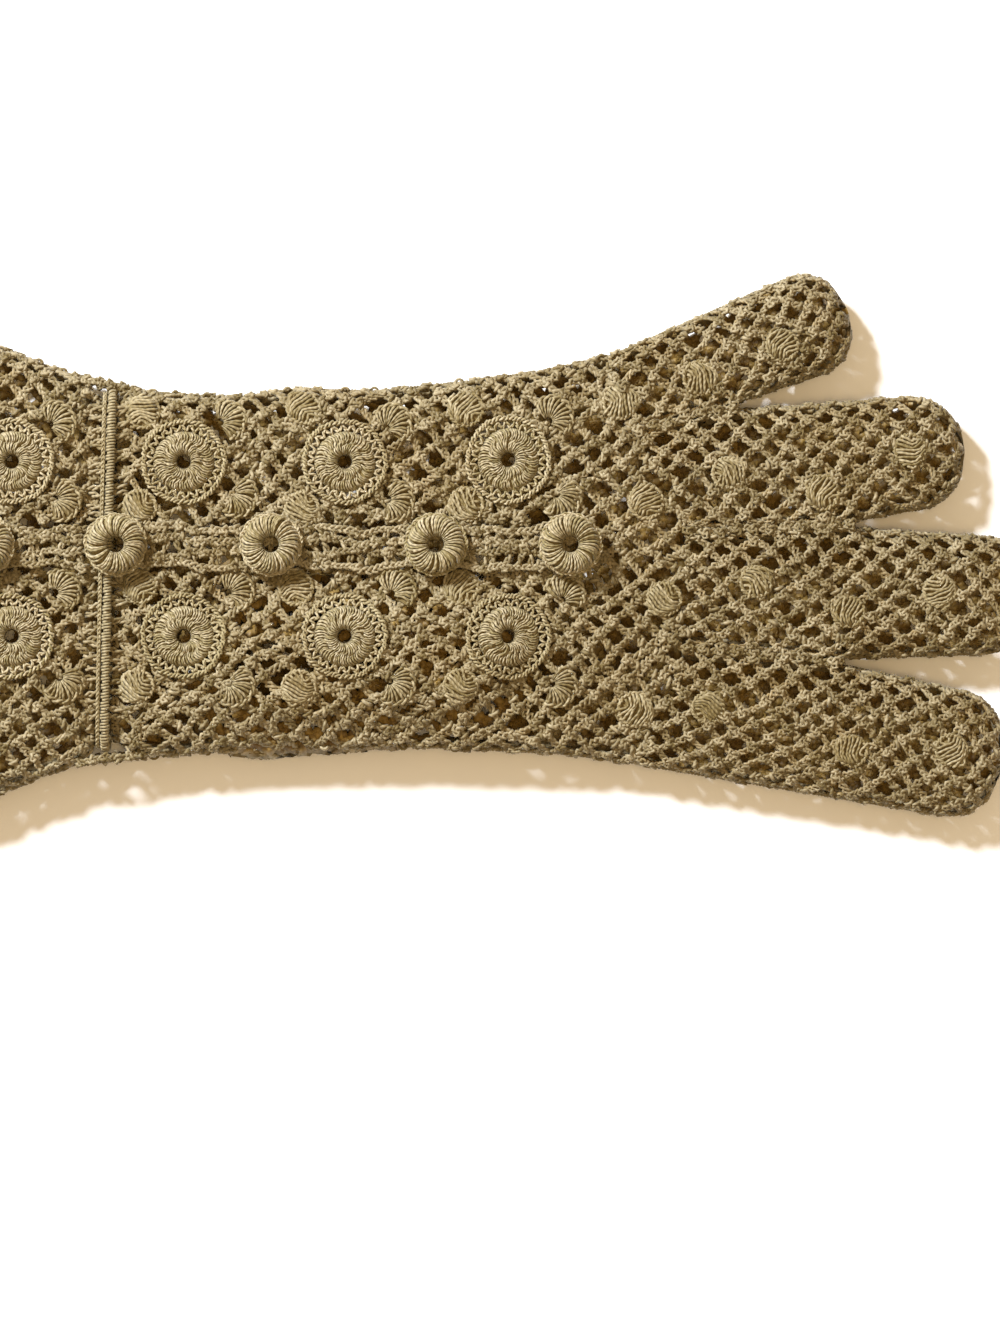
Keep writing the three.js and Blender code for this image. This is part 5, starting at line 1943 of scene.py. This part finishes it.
@dataclass
class Thumb:
    """The thumb: a closed flat tube of net under the palm."""

    mouth_share: float = 0.23
    mouth: tuple[float, float] = (8.7, 6.2)
    edge_share: float = 0.97
    bar: Cord = Cord(Ply.TWIST, 0.55, 0.3, 0.55)
    hoop: Cord = Cord(Ply.TWIST, 0.42, 0.3, 0.45)
    hoops: tuple[float, ...] = (0.45, 1.0)

    def gusset(self, threads: Threads, rng: Rng) -> None:
        """Crossed bars round the thumb's root from its edge to the palm, and hoops across them.

        A bar's foot stands at the thumb's radius and its far end at that plus the palm's fall-off,
        the angle leans one way or the other, and the height follows a quarter of a cosine.

        Args:
            threads: gathers the threads.
            rng: source of unevenness.
        """
        way = heading(FORM.thumb_splay)
        radius = FORM.thumb_width / 2.0
        centre = FORM.plan(*FORM.thumb_start) + radius * way
        feet = np.radians(180.0 + FORM.thumb_splay) + np.linspace(-1.75, 1.75, 20)

        def slope(t: Values, base: float) -> tuple[Values, Values]:
            """Distance from the centre and height at a share of the way out."""
            distance = radius - 0.9 + (FORM.thumb_falloff + 1.6) * t
            return distance, base + 2.2 * np.cos(np.pi / 2.0 * t)

        t = np.linspace(0.0, 1.0, 5)[None, :]
        reach, height = slope(t, 1.1)
        for sign in (-1.0, 1.0):
            angle = feet[:, None] + spread(rng, 0.04, len(feet), 1) + sign * 0.2 * t
            phase = TURN * (1.6 * t + rng.random((len(feet), 1)))
            threads.cord(self.bar, polar(centre, reach, angle, height), phase, rng)
        angle = np.linspace(feet[0] - 0.1, feet[-1] + 0.1, 42)
        for share in self.hoops:
            reach, height = slope(share, 0.9)
            threads.cord(self.hoop, polar(centre, reach, angle, height), (reach * angle) / 0.6, rng)

    def dress(self, finish: Material) -> None:
        """Works the upper and lower layers; the upper one is open at the mouth.

        Args:
            finish: the material.
        """
        back, palm = thumb_skin(Side.BACK), thumb_skin(Side.PALM)
        length, mouth_at = FORM.thumb_length, self.mouth_share * FORM.thumb_length

        def upper(flat: Array) -> Array:
            """True inside the outline and off the mouth."""
            along, across = flat[..., 0] - mouth_at, flat[..., 1]
            mouth = np.hypot(along / self.mouth[0], across / self.mouth[1])
            return (np.abs(back.share(flat)) <= self.edge_share) & (mouth > 1.0)

        def lower(flat: Array) -> Array:
            """True inside the outline."""
            return np.abs(palm.share(flat)) <= self.edge_share

        span = (0.5, -14.0), (length - 0.5, 14.0)
        top, _ = work_net(back, *span, upper, replace(FINGER_PALM_STITCH, bar_points=3), 41)
        under, _ = work_net(palm, *span, lower, FINGER_PALM_STITCH, 42)
        rng = np.random.default_rng(43)
        self.gusset(under, rng)
        t = np.arange(0.6, length - 0.4, 0.8)
        for sign in (-1.0, 1.0):
            edge_chain(under, back, back.side_line(t, sign * self.edge_share), rng)
        around = np.linspace(0.0, TURN, 60)
        ring = stacked(mouth_at + self.mouth[0] * np.cos(around), self.mouth[1] * np.sin(around))
        edge_chain(under, back, ring, rng)
        join(top, under).build("thumb_net", finish, "crochet_net", "thumb")


@dataclass(frozen=True)
class AreaLight:
    """A square light that is turned to the glove."""

    name: str
    place: tuple[float, float, float]
    size: float
    energy: float
    colour: str

    def build(self) -> None:
        """Adds the light to the scene."""
        light = bpy.data.lights.new(self.name, "AREA")
        light.size, light.energy, light.color = self.size, self.energy, linear(self.colour)[:3]
        lamp = bpy.data.objects.new(self.name, light)
        lamp.location = self.place
        lamp.rotation_euler = (-Vector(self.place)).to_track_quat("-Z", "Y").to_euler()
        bpy.context.scene.collection.objects.link(lamp)


@dataclass
class Studio:
    """Floor, light and camera."""

    centre: tuple[float, float] = (0.01785, -0.01936)
    frame_height: float = 0.2666
    camera_height: float = 1.1
    glove_height: float = 0.008
    floor_half: float = 1.5
    sky: str = "ffe8c8"
    sky_strength: float = 0.48
    lights: tuple[AreaLight, ...] = (
        AreaLight("key_light", (-0.78, 0.83, 0.86), 0.22, 49.0, "f4f8ff"),
        AreaLight("fill_light", (0.12, -0.1, 1.5), 0.5, 6.0, "ffd694"),
    )

    def floor(self) -> None:
        """A plain pale sheet."""
        half = self.floor_half
        mesh = bpy.data.meshes.new("floor")
        corners = [(-half, -half, 0), (half, -half, 0), (half, half, 0), (-half, half, 0)]
        mesh.from_pydata(corners, [], [(0, 1, 2, 3)])
        paper = bpy.data.materials.new("pale_paper")
        paper.use_nodes = True
        shader = paper.node_tree.nodes["Principled BSDF"]
        shader.inputs["Base Color"].default_value = linear("fbfbfa")
        shader.inputs["Roughness"].default_value = 0.9
        mesh.materials.append(paper)
        sheet = bpy.data.objects.new("floor", mesh)
        bpy.context.scene.collection.objects.link(sheet)

    def build(self) -> None:
        """Sets everything up; the camera looks straight down, as the photo does."""
        scene = bpy.context.scene
        self.floor()
        for light in self.lights:
            light.build()
        world = bpy.data.worlds.new("studio")
        world.use_nodes = True
        background = world.node_tree.nodes["Background"].inputs
        background["Color"].default_value = linear(self.sky)
        background["Strength"].default_value = self.sky_strength
        scene.world = world
        scene.view_settings.view_transform = "Standard"
        camera = bpy.data.cameras.new("camera")
        camera.lens = 36.0 * (self.camera_height - self.glove_height) / self.frame_height
        camera.clip_start, camera.clip_end = 0.05, 20.0
        eye = bpy.data.objects.new("camera", camera)
        eye.location = (*self.centre, self.camera_height)
        scene.collection.objects.link(eye)
        scene.camera = eye


def main() -> None:
    """Builds the studio and every piece in order."""
    logging.basicConfig(level=logging.INFO, format="%(message)s")
    Studio().build()
    net = CottonThread("plied_cotton_net", light="998c6c", dark="65562d").material()
    worked = CottonThread("plied_cotton_stitches", light="ac9f7f", dark="83764c").material()
    shells = CottonThread("plied_cotton_shells", light="9e916f", dark="716237").material()
    cord = CottonThread("wrapped_cotton_cord", light="9f9372", dark="786a42").material()
    back, palm = hand_skin(Side.BACK), hand_skin(Side.PALM)
    free = RoundMotifs().dress(back, worked)
    free += FanMotifs().dress(back, shells)
    HandNet(free=free).dress(back, palm, net)
    Fingers().dress(net, shells)
    Thumb().dress(net)
    Placket().dress(back, net)
    Buttons().dress(worked)
    wrist = WristCord()
    wrist.dress(cord)
    wrist.gussets(net)
    wrist.ties(back, net)
    Hem().dress(net)


if __name__ == "__main__":
    main()
